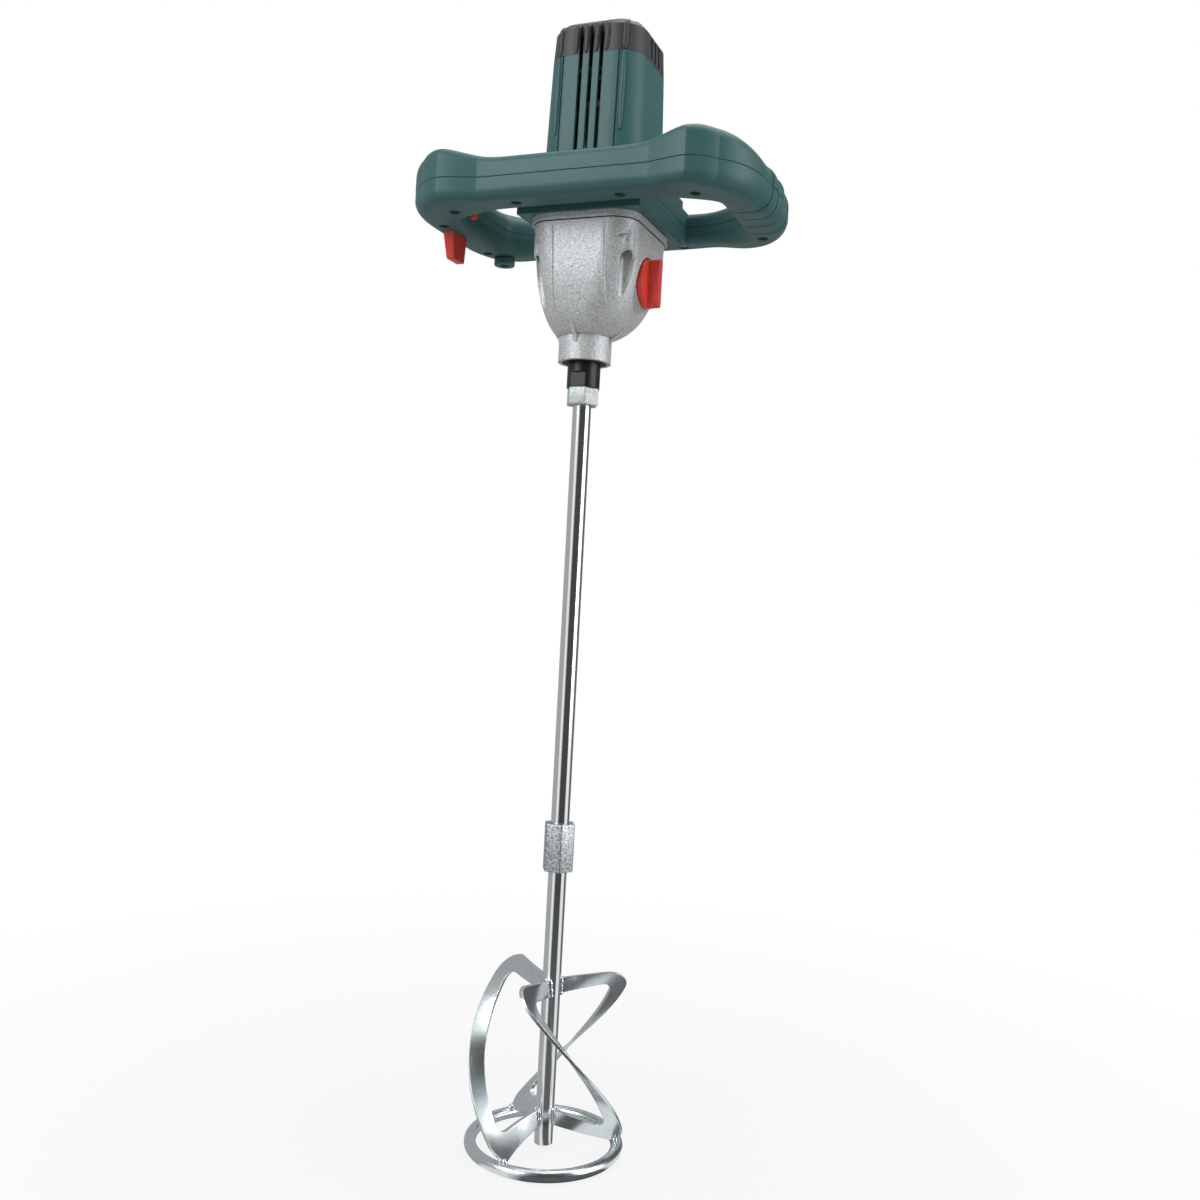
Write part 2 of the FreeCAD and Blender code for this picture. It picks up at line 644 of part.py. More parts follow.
def below_lug(x, y):
    """The room below a slanted plane that ends a screw lug, so that the screw's hole opens outward."""
    size = z_cover - z_box
    room = Part.makeBox(size * 2, size * 2, size, Vector(-size, -size, -size))
    turn = Rotation(UP, math.degrees(math.atan2(y, x - box_x)))
    level = z_cover - s.box_screw_seat - s.box_screw_head - s.box_column_d / 2
    room.Placement = FreeCAD.Placement(Vector(x, y, level), turn * Rotation(Vector(0, 1, 0), -LUG_SLANT))
    return room


def lug_groove(x, y, wall, top):
    """An upright rod where the bell is hollowed out below a screw lug, or with a wall the solid round it."""
    out = Vector(x - box_x, y, 0)
    out.normalize()
    centre = Vector(x, y, 0) + out * s.lug_groove_out
    return post(s.lug_groove_d / 2 + wall, top - z_box, centre.x, centre.y, z_box)


def screw_lug(x, y):
    lug = post(s.box_column_d / 2, s.box_column_len, x, y, z_cover - s.box_column_len)
    return lug.cut(below_lug(x, y))


def bell_sections(inset, lift):
    """Rounded outlines of the gearbox from the nose up to the flange plate."""
    nose = s.nose_d / 2 + s.seat_gap
    wires = []
    for height_share, width_share, flat_share in zip(BELL_HEIGHT_SHARES, BELL_WIDTH_SHARES, BELL_FLAT_SHARES):
        half_x = nose + (s.box_half_x - nose) * width_share - inset
        half_y = nose + (box_half_y - nose) * width_share - inset
        x = spindle_x + (box_x - spindle_x) * width_share
        corner = min(half_x, half_y) - (s.box_half_x - s.box_corner) * flat_share
        z = z_box + (z_cover - z_box) * height_share + lift
        wires.append(rounded_wire(x, 0, half_x, half_y, corner, z))
    return wires


def make_gearbox():
    outer = Part.makeLoft(bell_sections(0, 0), True, False)
    outer = outer.fuse(post(s.nose_d / 2, s.nose_len + s.seat_gap, spindle_x, 0, z_nose))
    lugs = [screw_lug(x, y) for x, y in box_screw_places()]
    selector_boss = post(s.selector_boss_d / 2, s.box_half_x - s.selector_boss_back, box_x, 0, z_selector,
                         Vector(1, 0, 0))
    outer = outer.multiFuse(lugs + [selector_boss])
    cavity = Part.makeLoft(bell_sections(s.box_wall, s.box_wall), True, False)
    bush_r = s.lay_shaft_d / 2 + s.bush_wall
    guide = guide_place()
    floor_posts = [
        post(bush_r + s.bush_boss, s.low_gear_lift - s.gear_gap, lay_x, lay_y, z_box),
        post(s.guide_pin_d / 2 + s.bush_boss, s.low_gear_lift - s.gear_gap, guide[0], guide[1], z_box),
    ]
    cavity = cavity.cut(floor_posts[0].fuse(floor_posts[1]))
    pillars = []
    for x, y in box_screw_places():
        pillars.append(post(s.box_column_d / 2, z_cover - z_box, x, y, z_box))
        pillars.append(lug_groove(x, y, s.lug_groove_wall, z_bridge - s.seat_gap))
    cavity = cavity.cut(pillars[0].multiFuse(pillars[1:]))
    shell = outer.cut(cavity)
    tools = [
        post(s.seal_d / 2, s.seal_len, spindle_x, 0, z_nose),
        post(s.spindle_d / 2 + s.seat_gap, s.seal_len + 2 * s.seat_gap, spindle_x, 0, z_nose),
        post(s.bearing_d / 2, s.nose_len, spindle_x, 0, z_nose + s.seal_len + s.seat_gap),
        post(bush_r, s.bush_len, lay_x, lay_y, z_low - s.gear_gap - s.bush_len),
        post(s.guide_pin_d / 2 + s.weld_fit, s.bush_len, guide[0], guide[1], z_low - s.gear_gap - s.bush_len),
        post(s.selector_shaft_d / 2 + s.running_fit, s.box_half_x * 2, box_x, 0, z_selector, Vector(1, 0, 0)),
        post(s.knob_d / 2 + s.seat_gap, s.box_half_x, box_x + s.box_half_x - s.selector_boss_back, 0,
             z_selector, Vector(1, 0, 0)),
        rounded_block(*bridge_outline(), z_bridge, z_cover - z_bridge + s.overrun, box_x, 0),
    ]
    for x, y in box_screw_places():
        seat = z_cover - s.box_screw_seat
        tools.append(post(s.box_screw_d / 2 + s.screw_room, s.box_screw_seat + s.overrun, x, y, seat))
        tools.append(post(s.box_screw_head_d / 2 + s.screw_room, seat - z_box, x, y, z_box))
        tools.append(lug_groove(x, y, 0, z_cover).common(below_lug(x, y)))
    above = rounded_block(s.box_half_x * 2, s.box_half_x * 2, s.box_corner, z_cover,
                          s.gear_room + s.box_wall * 2)
    shell = shell.cut(tools[0].multiFuse(tools[1:])).cut(above)
    shell = max(shell.Solids, key=lambda solid: solid.Volume)
    node("gearbox_housing", formed("gearbox_solid", shell))


def bridge_outline():
    """Half sizes and corner of the ledge that carries the bearing bridge."""
    inset = s.box_wall - s.bridge_ledge
    return s.box_half_x - inset, box_half_y - inset, s.box_corner - inset


def guide_place():
    return spindle_x + s.guide_x, -s.guide_y


def make_bridge():
    half_x, half_y, corner = bridge_outline()
    fit = s.weld_fit
    plate = rounded_block(half_x - fit, half_y - fit, corner - fit, z_bridge, s.bridge_plate, box_x, 0)
    guide = guide_place()
    cuts = [
        post(s.top_journal_d / 2 + s.bush_wall + fit, s.bridge_plate, spindle_x, 0, z_bridge),
        post(s.lay_shaft_d / 2 + s.seat_gap, s.bridge_plate, lay_x, lay_y, z_bridge),
        post(s.guide_pin_d / 2 + fit, s.bridge_plate, guide[0], guide[1], z_bridge),
    ]
    for x, y in box_screw_places():
        cuts.append(post(s.box_column_d / 2 + fit, s.bridge_plate, x, y, z_bridge))
    plate = plate.cut(cuts[0].multiFuse(cuts[1:]))
    plate = max(plate.Solids, key=lambda solid: solid.Volume)
    node("bearing_bridge", formed("bridge_solid", plate))
    bush_r = s.top_journal_d / 2
    node("spindle_top_bush", tube("top_bush", bush_r + s.bush_wall, bush_r + s.running_fit, s.bridge_plate,
                                  spindle_x, 0, z_bridge))
    pin_z = z_low - s.gear_gap - s.bush_len
    pin_len = z_bridge + s.bridge_plate - pin_z
    node("fork_guide_pin", cylinder("guide_rod", s.guide_pin_d / 2, pin_len, guide[0], guide[1], pin_z))


def make_cover():
    lip = s.cover_lip
    plate = rounded_block(s.box_half_x + lip, box_half_y + lip, s.box_corner + lip, z_cover, s.cover_plate,
                          box_x, 0)
    plate = plate.fuse(post(s.cover_hub_d / 2, s.cover_hub, 0, 0, z_handle))
    bush_r = s.lay_shaft_d / 2 + s.bush_wall
    cuts = [
        post(s.lower_bearing_d / 2, s.cover_plate + s.cover_hub, 0, 0, bearing_low()),
        post(s.lower_bearing_d / 2 - s.bush_wall, s.cover_plate + s.cover_hub, 0, 0, z_cover),
        post(bush_r, s.cover_plate, lay_x, lay_y, z_cover),
    ]
    for x, y in box_screw_places():
        cuts.append(post(s.box_screw_d / 2 + s.screw_room, s.cover_plate, x, y, z_cover))
    plate = plate.cut(cuts[0].multiFuse(cuts[1:]))
    node("gearbox_cover_plate", formed("cover_solid", plate))


def bearing_low():
    """Underside of the lower armature bearing, flush with the top of its hub."""
    return z_handle + s.cover_hub - s.lower_bearing_len


# Layshaft and free-running high gear
def make_layshaft():
    bush_r = s.lay_shaft_d / 2 + s.bush_wall
    bore = s.lay_shaft_d / 2 + s.running_fit
    bush_z = z_low - s.gear_gap - s.bush_len
    node("layshaft_lower_bush", tube("lay_low_bush", bush_r, bore, s.bush_len, lay_x, lay_y, bush_z))
    node("layshaft_upper_bush", tube("lay_high_bush", bush_r, bore, s.cover_plate, lay_x, lay_y, z_cover))
    shaft_len = z_handle - bush_z
    rod = cylinder("lay_rod", s.lay_shaft_d / 2, shaft_len, lay_x, lay_y, bush_z)
    lay = (lay_x, lay_y)
    teeth = gear_shape(LOW_PINION_TEETH, s.second_module, s.low_gear_width, 0,
                       tooth_phase(lay, (spindle_x, 0), LOW_PINION_TEETH, False),
                       PINION_ADDENDUM_SHARE, GEAR_ADDENDUM_SHARE)
    pinion = place(formed("low_pinion", teeth), lay_x, lay_y, z_low)
    node("layshaft", fuse("layshaft_solid", rod, pinion))
    seat = s.lay_shaft_d / 2 + s.weld_fit
    wheels = (
        ("layshaft_gear", FIRST_GEAR_TEETH, s.first_module, s.first_gear_width, seat, (0, 0), True, z_first),
        ("high_pinion", HIGH_PINION_TEETH, s.second_module, s.high_gear_width, seat, (spindle_x, 0), False,
         z_high),
    )
    for label, teeth, module, width, bore, mate, is_gear, z in wheels:
        own, other = GEAR_ADDENDUM_SHARE, PINION_ADDENDUM_SHARE
        if not is_gear:
            own, other = other, own
        shape = gear_shape(teeth, module, width, bore, tooth_phase(lay, mate, teeth, is_gear), own, other)
        node(label, place(formed(label + "_solid", shape), lay_x, lay_y, z))
    shape = gear_shape(HIGH_GEAR_TEETH, s.second_module, s.high_gear_width, s.gear_seat_d / 2 + s.running_fit,
                       tooth_phase((spindle_x, 0), lay, HIGH_GEAR_TEETH, True),
                       GEAR_ADDENDUM_SHARE, PINION_ADDENDUM_SHARE)
    pocket = dog_ring(-s.overrun, s.dog_len + s.dog_gap + s.overrun, DOG_SPARE_ANGLE, s.slide_fit)
    node("high_gear", place(formed("high_gear_solid", shape.cut(pocket)), spindle_x, 0, z_high))


# Selector, fork and collar
def make_selector():
    groove = s.groove_width / 2
    middle = s.collar_len / 2
    bore = s.gear_seat_d / 2 + s.slide_fit
    outer = s.collar_d / 2
    floor = s.groove_d / 2
    outline = [
        (bore, 0), (outer, 0), (outer, middle - groove), (floor, middle - groove), (floor, middle + groove),
        (outer, middle + groove), (outer, s.collar_len), (bore, s.collar_len),
    ]
    ring = turned("collar_ring", outline, spindle_x, 0, z_collar)
    ways = key_blocks("collar_way", s.gear_seat_d / 2 + s.key_proud + s.slide_fit,
                      s.key_width + s.slide_fit * 2, s.collar_len, z_collar)
    dogs = dog_ring(-s.dog_len, s.dog_len, 0, 0).fuse(dog_ring(s.collar_len, s.dog_len, 0, 0))
    dog_set = place(formed("collar_dogs", dogs), spindle_x, 0, z_collar)
    node("shift_collar", fuse("collar_solid", cut("collar_keyed", ring, *ways), dog_set))

    wall = box_x + s.box_half_x - s.selector_boss_back
    shaft_len = s.box_wall * 2
    shaft_x = wall - shaft_len
    stem = cylinder("selector_stem", s.selector_shaft_d / 2, shaft_len, shaft_x, 0, z_selector, ALONG_X)
    pin = cylinder("selector_pin", s.selector_pin_d / 2, s.selector_pin_len + s.overrun,
                   shaft_x - s.selector_pin_len, 0, z_selector - s.selector_throw, ALONG_X)
    node("selector_shaft", fuse("selector_crank", stem, pin))
    disc = cylinder("knob_plate", s.knob_d / 2, s.knob_disc, wall + s.knob_gap, 0, z_selector, ALONG_X)
    neck = cylinder("knob_neck", s.selector_shaft_d / 2, s.knob_gap, wall, 0, z_selector, ALONG_X)
    bar_x = wall + s.knob_gap + s.knob_disc
    bar = box("knob_bar", s.knob_bar_proud, s.knob_bar_width, s.knob_d - s.knob_bar_width,
              bar_x + s.knob_bar_proud / 2, 0, z_selector - (s.knob_d - s.knob_bar_width) / 2)
    ends = [
        cylinder("knob_bar_end_%d" % (end + 1), s.knob_bar_width / 2, s.knob_bar_proud, bar_x, 0,
                 z_selector + (s.knob_d - s.knob_bar_width) * (end - 0.5), ALONG_X)
        for end in range(2)
    ]
    node("selector_knob", fuse("knob_solid", disc, neck, bar, *ends))
    make_fork(shaft_x)


def make_fork(shaft_x):
    """A fork that rides in the collar's groove, slides on the guide pin and is moved by the crank pin."""
    plate = s.groove_width - s.fork_gap * 2
    z_middle = z_collar + s.collar_len / 2
    z_plate = z_middle - plate / 2
    rim = s.collar_d / 2 + s.fork_rim
    jaw = sector("fork_jaw", rim, plate, 0, FORK_HALF_ANGLE, spindle_x, 0, z_plate)
    mouth = cylinder("fork_mouth", s.groove_d / 2 + s.fork_gap, plate, spindle_x, 0, z_plate)
    block_x = shaft_x - s.selector_pin_len + s.fork_block / 2 + s.overrun
    arm_start = spindle_x + s.collar_d / 2 + s.fork_gap
    arm_len = block_x - arm_start
    arm = box("fork_arm", arm_len, s.fork_arm_width, plate, arm_start + arm_len / 2, 0, z_plate)
    slot_length = (s.selector_throw + s.selector_pin_d / 2 + s.fork_gap) * 2
    block = box("fork_head", s.fork_block, slot_length + s.fork_block, s.fork_block_height, block_x, 0,
                z_middle - s.fork_block_height / 2)
    slot_height = s.selector_pin_d + s.fork_slot_room * 2
    slot = box("fork_slot", s.fork_block * 2, slot_length, slot_height, block_x, 0,
               z_middle - slot_height / 2)
    guide = guide_place()
    hub = cylinder("fork_hub", s.guide_hub_d / 2, s.guide_hub_len, guide[0], guide[1],
                   z_middle - s.guide_hub_len / 2)
    hub_hole = cylinder("fork_hub_hole", s.guide_pin_d / 2 + s.running_fit, s.guide_hub_len,
                        guide[0], guide[1], z_middle - s.guide_hub_len / 2)
    link = box("fork_link", s.guide_hub_d, s.guide_y, plate, guide[0], -s.guide_y / 2, z_plate)
    jaws = cut("fork_jaws", fuse("fork_plate", jaw, arm, link), mouth)
    node("shift_fork", cut("fork_solid", fuse("fork_body", jaws, block, hub), slot, hub_hole))


# Motor
def make_armature():
    shaft_r = s.armature_shaft_d / 2
    low = bearing_low()
    pinion_len = low - z_first
    top = z_cap - low
    rod = cylinder("armature_rod", shaft_r, top, 0, 0, low)
    phase = tooth_phase((0, 0), (lay_x, lay_y), PINION_TEETH, False)
    teeth = gear_shape(PINION_TEETH, s.first_module, pinion_len, 0, phase, PINION_ADDENDUM_SHARE,
                       GEAR_ADDENDUM_SHARE)
    pinion = place(formed("motor_pinion", teeth), 0, 0, z_first)
    node("armature_shaft", fuse("armature_shaft_solid", rod, pinion))
    node("armature_lower_bearing", bearing("armature_low_race", s.lower_bearing_d, s.armature_shaft_d,
                                           s.lower_bearing_len, 0, 0, low))
    node("armature_upper_bearing", bearing("armature_high_race", s.upper_bearing_d, s.armature_shaft_d,
                                           s.upper_bearing_len, 0, 0, z_cap - s.upper_bearing_len))
    seat = shaft_r + s.weld_fit
    core = slotted_disc("core_stack", s.core_d / 2, s.core_len, s.core_slot, s.core_slot_depth, CORE_SLOTS,
                        z_core)
    core_bore = cylinder("core_bore", seat, s.core_len, 0, 0, z_core)
    node("armature_core", cut("core_solid", core, core_bore))
    bars = slotted_disc("commutator_bars", s.commutator_d / 2, s.commutator_len, s.commutator_slot,
                        s.commutator_depth, COMMUTATOR_BARS, z_commutator)
    bars_bore = cylinder("commutator_bore", seat, s.commutator_len, 0, 0, z_commutator)
    node("commutator", cut("commutator_solid", bars, bars_bore))
    low_turns = tube("winding_low", s.winding_d / 2, seat, s.winding_len, 0, 0, z_core - s.winding_len)
    high_turns = tube("winding_high", s.winding_d / 2, seat, s.winding_len, 0, 0, z_core_top)
    node("armature_winding", group("winding_pair", [low_turns, high_turns]))
    make_fan(seat)


def make_fan(seat):
    body = doc.addObject("PartDesign::Body", "fan_wheel")
    padded_disc(body, "fan_disc", s.fan_d / 2, s.fan_disc)
    sketch = sketch_on(body, "fan_blade_outline", "XY_Plane")
    half = s.fan_blade / 2
    start = s.fan_hub_d / 2 - s.fan_blade
    end = s.fan_d / 2 - s.fan_blade
    draw_outline(sketch, [(start, -half), (end, -half), (end, half), (start, half)])
    vane = body.newObject("PartDesign::Pad", "fan_vane")
    vane.Profile = sketch
    bind(vane, "Length", s.fan_len)
    repeated(body, "fan", vane, FAN_BLADES)
    place(body, 0, 0, z_fan)
    hub = cylinder("fan_hub", s.fan_hub_d / 2, s.fan_len, 0, 0, z_fan)
    bore = cylinder("fan_bore", seat, s.fan_len, 0, 0, z_fan)
    node("cooling_fan", cut("fan_solid", fuse("fan_joined", body, hub), bore))


def make_stator():
    outer = s.stator_d / 2
    yoke = outer - s.yoke_width
    pole_bore = s.core_d / 2 + s.air_gap
    z = z_core - s.stator_over
    length = s.core_len + s.stator_over * 2
    ring = tube("stator_yoke", outer, yoke, length, 0, 0, z)
    poles = [
        sector("stator_pole_%d" % (side + 1), yoke + s.weld_fit, length, 90 + 180 * side, POLE_HALF_ANGLE,
               0, 0, z)
        for side in range(2)
    ]
    bore = cylinder("stator_bore", pole_bore, length, 0, 0, z)
    node("stator_core", cut("stator_solid", fuse("stator_joined", ring, *poles), bore))
    coil_inner = pole_bore + s.coil_gap
    coil_outer = yoke - s.coil_gap
    coil_len = length + s.coil_over * 2
    coils = []
    for side in range(2):
        middle = 90 + 180 * side
        name = "coil_%d" % (side + 1)
        turns = sector(name + "_turns", coil_outer, coil_len, middle, COIL_HALF_ANGLE, 0, 0, z - s.coil_over)
        inside = cylinder(name + "_inside", coil_inner, coil_len, 0, 0, z - s.coil_over)
        window = sector(name + "_window", outer, length, middle, POLE_HALF_ANGLE + 2, 0, 0, z)
        coils.append(cut(name, turns, inside, window))
    node("field_coils", group("coil_pair", coils))


def make_brushes():
    contact = s.commutator_d / 2 + s.brush_gap
    z_brush = z_commutator + s.commutator_len / 2
    width = s.brush_width + s.holder_wall * 2
    holders = []
    brushes = []
    for side in range(2):
        sign = 2 * side - 1
        start = contact + s.holder_wall
        holder = box("holder_block_%d" % (side + 1), s.holder_len, width,
                     z_spider - z_brush + s.holder_height / 2,
                     sign * (start + s.holder_len / 2), 0, z_brush - s.holder_height / 2)
        channel = box("holder_channel_%d" % (side + 1), s.holder_len * 2, s.brush_width + s.slide_fit * 2,
                      s.brush_height + s.slide_fit * 2, sign * (start + s.holder_len / 2), 0,
                      z_brush - s.brush_height / 2 - s.slide_fit)
        holders.append(cut("holder_%d" % (side + 1), holder, channel))
        inner = s.commutator_d / 4
        length = contact - inner + s.brush_len
        brush = box("brush_block_%d" % (side + 1), length, s.brush_width, s.brush_height,
                    sign * (inner + length / 2), 0, z_brush - s.brush_height / 2 - s.slide_fit)
        round_end = cylinder("brush_end_%d" % (side + 1), contact, s.commutator_len * 2, 0, 0,
                             z_brush - s.commutator_len)
        brushes.append(cut("brush_%d" % (side + 1), brush, round_end))
    node("brush_holders", group("holder_pair", holders))
    node("carbon_brushes", group("brush_pair", brushes))


# Motor barrel and cap
def barrel_shape(inset, z_from, z_to):
    """The tapered barrel between two heights, moved in by inset."""
    def wire(z):
        share = (z - z_handle) / (z_cap - z_handle)
        half = barrel_base_half + (barrel_top_half - barrel_base_half) * share - inset
        return rounded_wire(0, 0, half, half, s.barrel_corner + s.barrel_draft * (1 - share) - inset, z)
    return Part.makeLoft([wire(z_from), wire(z_to)], True, True)


def cap_screw_places():
    out = s.cap_screw_out
    return [(side_x * out, side_y * out) for side_x in (-1, 1) for side_y in (-1, 1)]


def wall_slots(places, width, start, turns, z_from, z_to):
    """Upright slots in the walls, from start out through the surface, on the sides given by turns."""
    slots = []
    for turn in turns:
        for place_x in places:
            corner = Vector(place_x - width / 2, start, z_from)
            slot = Part.makeBox(width, barrel_base_half + s.overrun - start, z_to - z_from, corner)
            slot.rotate(Vector(), UP, turn)
            slots.append(slot)
    return slots[0].multiFuse(slots[1:])


def vent_slots(steps, turns, z_from, z_to):
    places = [step * s.vent_pitch for step in steps]
    return wall_slots(places, s.vent_slot, s.stator_d / 2 + s.stator_room / 2, turns, z_from, z_to)


def panel_grooves():
    """Shallow lines beside the vents, following the barrel's slope."""
    places = (-s.panel_groove_x, s.panel_groove_x)
    low = z_roof + s.part_gap
    slots = wall_slots(places, s.panel_groove, s.stator_d / 2, (0, 180), low, z_cap + s.overrun)
    return slots.cut(barrel_shape(s.panel_groove_depth, z_handle, z_cap + s.overrun * 2))


def make_barrel():
    outer = barrel_shape(0, z_handle, z_cap)
    flange_half = barrel_base_half + s.flange_lip
    outer = outer.fuse(rounded_block(flange_half, flange_half, s.barrel_corner, z_handle, s.flange_len))
    inside = barrel_shape(s.case_wall, z_handle, z_cap)
    ribs = []
    rib_z = z_core - s.stator_over
    for turn in (45, 135):
        rib = Part.makeBox(barrel_base_half * 3, s.rib_width, s.core_len + s.stator_over * 2,
                           Vector(-barrel_base_half * 3 / 2, -s.rib_width / 2, rib_z))
        rib.rotate(Vector(), UP, turn)
        ribs.append(rib)
    seat = post(s.stator_d / 2 + s.weld_fit, z_cap - z_handle, 0, 0, z_handle)
    keep = ribs[0].fuse(ribs[1]).cut(seat)
    spider = rounded_block(barrel_base_half, barrel_base_half, s.barrel_corner, z_spider, s.spider_plate)
    keep = keep.fuse(spider)
    keep = keep.fuse(post(s.spider_hub_d / 2, s.spider_len, 0, 0, z_spider))
    columns = [post(s.cap_column_d / 2, s.spider_len, x, y, z_spider) for x, y in cap_screw_places()]
    keep = keep.multiFuse(columns)
    shell = outer.cut(inside.cut(keep))
    cuts = [
        post(s.upper_bearing_d / 2, s.upper_bearing_len, 0, 0, z_cap - s.upper_bearing_len),
        post(s.armature_shaft_d / 2 + s.seat_gap, s.spider_len, 0, 0, z_spider),
        vent_slots((-1, 0, 1), (0, 180), z_parting + s.vent_lift, z_cap + s.overrun),
        panel_grooves(),
    ]
    for number in range(VENT_HOLES):
        angle = 2 * math.pi * (number + 0.5) / VENT_HOLES
        cuts.append(post(s.vent_hole_d / 2, s.spider_plate, s.vent_circle_d / 2 * math.cos(angle),
                         s.vent_circle_d / 2 * math.sin(angle), z_spider))
    for x, y in cap_screw_places():
        cuts.append(post(s.cap_screw_d / 2 + s.weld_fit, s.spider_len, x, y, z_spider))
    for x, y in box_screw_places():
        cuts.append(post(s.box_screw_d / 2 + s.weld_fit, s.flange_len, x, y, z_handle))
    shell = shell.cut(cuts[0].multiFuse(cuts[1:]))
    shell = max(shell.Solids, key=lambda solid: solid.Volume)
    node("motor_housing", formed("barrel_solid", shell))


def make_cap():
    def wires(inset, drop):
        half = barrel_top_half - inset
        corner = s.barrel_corner - inset
        shoulder = half - s.cap_shoulder_draft
        edge = shoulder - s.cap_edge
        return [
            rounded_wire(0, 0, half, half, corner, z_cap),
            rounded_wire(0, 0, shoulder, shoulder, corner, z_cap + s.cap_shoulder - drop),
            rounded_wire(0, 0, edge, edge, corner - s.cap_edge, z_top - drop),
        ]
    cap = Part.makeLoft(wires(0, 0), True, True)
    hollow = Part.makeLoft(wires(s.case_wall, s.case_wall), True, True)
    columns = [post(s.cap_column_d / 2, s.cap_len, x, y, z_cap) for x, y in cap_screw_places()]
    hollow = hollow.cut(columns[0].multiFuse(columns[1:]))
    cuts = [
        vent_slots((-1, 0, 1), (0, 180), z_cap - s.overrun, z_top + s.overrun),
        vent_slots((-1, 0, 1), (90, 270), z_cap + s.case_wall, z_top + s.overrun),
    ]
    seat = z_top - s.cap_screw_sunk - s.cap_screw_head
    for x, y in cap_screw_places():
        cuts.append(post(s.cap_screw_d / 2 + s.screw_room, s.cap_len, x, y, z_cap))
        cuts.append(post(s.cap_screw_head_d / 2 + s.screw_room, s.cap_len, x, y, seat))
    cap = cap.cut(hollow).cut(cuts[0].multiFuse(cuts[1:]))
    cap = max(cap.Solids, key=lambda solid: solid.Volume)
    node("top_cap", formed("cap_solid", cap))


# Loop handle
def loop_point(angle):
    """A point of the handle's centre line in the direction angle, a rectangle with well rounded corners."""
    cosine = math.cos(angle)
    sine = math.sin(angle)
    half_y = loop_y + s.rear_reach if sine > 0 else loop_y
    reach = (abs(cosine / loop_x) ** LOOP_POWER + abs(sine / half_y) ** LOOP_POWER) ** (-1 / LOOP_POWER)
    return Vector(reach * cosine, reach * sine, 0)


def knuckle_share(angle):
    """How much of a front corner's knuckle stands at this direction, from 0 to 1."""
    total = 0
    for peak in KNUCKLE_ANGLES:
        away = (math.degrees(angle) - peak + 180) % 360 - 180
        total += math.exp(-(away / KNUCKLE_SPREAD) ** KNUCKLE_POWER)
    return total


def bar_shares(point):
    """How much lower, narrower and crisper than the grips the front and rear bars are at a point."""
    blend = (BAR_END_SHARE - abs(point.x) / loop_x) / BAR_BLEND_SHARE
    blend = min(max(blend, 0), 1)
    blend = blend * blend * (3 - 2 * blend)
    lower, narrower = FRONT_BAR_SHARES if point.y < 0 else REAR_BAR_SHARES
    return lower * blend, narrower * blend, BAR_CRISP_SHARE * blend


def loop_section(angle, inset, upward):
    """Half a section of the grip, above or below the parting plane."""
    step = 2 * math.pi * TURN_STEP_SHARE
    along = loop_point(angle + step) - loop_point(angle - step)
    along.normalize()
    out = Vector(along.y, -along.x, 0)
    centre = loop_point(angle)
    lower_share, narrower_share, crisp_share = bar_shares(centre)
    half = grip_half * (1 - narrower_share)
    knuckle = knuckle_share(angle)
    outer = half + s.knuckle_out * knuckle - inset
    inner = half - inset
    height = s.handle_lower * (1 - lower_share) - inset
    if upward:
        height = s.handle_upper * (1 - lower_share) + s.knuckle_up * knuckle - inset
    rounding = s.grip_round * (1 - crisp_share) * (1 - KNUCKLE_CRISP_SHARE * min(knuckle, 1)) - inset
    centre = centre + UP * z_parting
    rise = UP if upward else -UP

    def at(side, lift):
        return centre + out * side + rise * lift

    bend = rounding * (1 - math.sqrt(0.5))
    edges = [
        Part.LineSegment(at(-inner, 0), at(outer, 0)),
        Part.LineSegment(at(outer, 0), at(outer, height - rounding)),
        Part.Arc(at(outer, height - rounding), at(outer - bend, height - bend), at(outer - rounding, height)),
        Part.LineSegment(at(outer - rounding, height), at(rounding - inner, height)),
        Part.Arc(at(rounding - inner, height), at(bend - inner, height - bend),
                 at(-inner, height - rounding)),
        Part.LineSegment(at(-inner, height - rounding), at(-inner, 0)),
    ]
    return Part.Wire([edge.toShape() for edge in edges])


def loop_shape(inset, upward):
    wires = [loop_section(2 * math.pi * step / LOOP_SECTIONS, inset, upward) for step in range(LOOP_SECTIONS)]
    return Part.makeLoft(wires, True, False, True)


def grip_grooves(upward):
    """Shallow grooves round the right grip."""
    half_turn = math.asin(s.grip_groove / 2 / loop_x)
    grooves = []
    for angle in GROOVE_ANGLES:
        middle = math.radians(angle)
        skins = []
        for inset in (-s.overrun, s.grip_groove_depth):
            ends = [loop_section(middle + side * half_turn, inset, upward) for side in (-1, 1)]
            skins.append(Part.makeLoft(ends, True, True))
        grooves.append(skins[0].cut(skins[1]))
    return grooves


def seam_shape():
    """The shadow gap along the rim of the lower shell; the screw bosses stay."""
    reach = loop_x + s.grip_width
    gap = Part.makeBox(reach * 2, reach * 2, s.seam, Vector(-reach, -reach, z_parting - s.seam))
    bosses = case_bosses(s.handle_lower, z_handle)
    return gap.cut(bosses[0].multiFuse(bosses[1:]))


def centre_block(inset, upward):
    """The block round the motor barrel, with a lower web out to the front and rear bars."""
    half = centre_half - inset
    full = (s.handle_upper if upward else s.handle_lower) - s.part_gap * upward
    web = full * (1 - REAR_BAR_SHARES[0]) - s.part_gap
    pieces = []
    for front, rear, height in ((half, half, full - inset), (loop_y, loop_y + s.rear_reach, web - inset)):
        low = z_parting if upward else z_parting - height
        pieces.append(Part.makeBox(half * 2, front + rear, height, Vector(-half, -front, low)))
    return pieces[0].fuse(pieces[1])


def case_screw_places():
    return [loop_point(math.radians(angle)) for angle in CASE_SCREW_ANGLES]


def case_bosses(height, z):
    """The columns that the case screws go into."""
    return [post(s.case_boss_d / 2, height, point.x, point.y, z) for point in case_screw_places()]


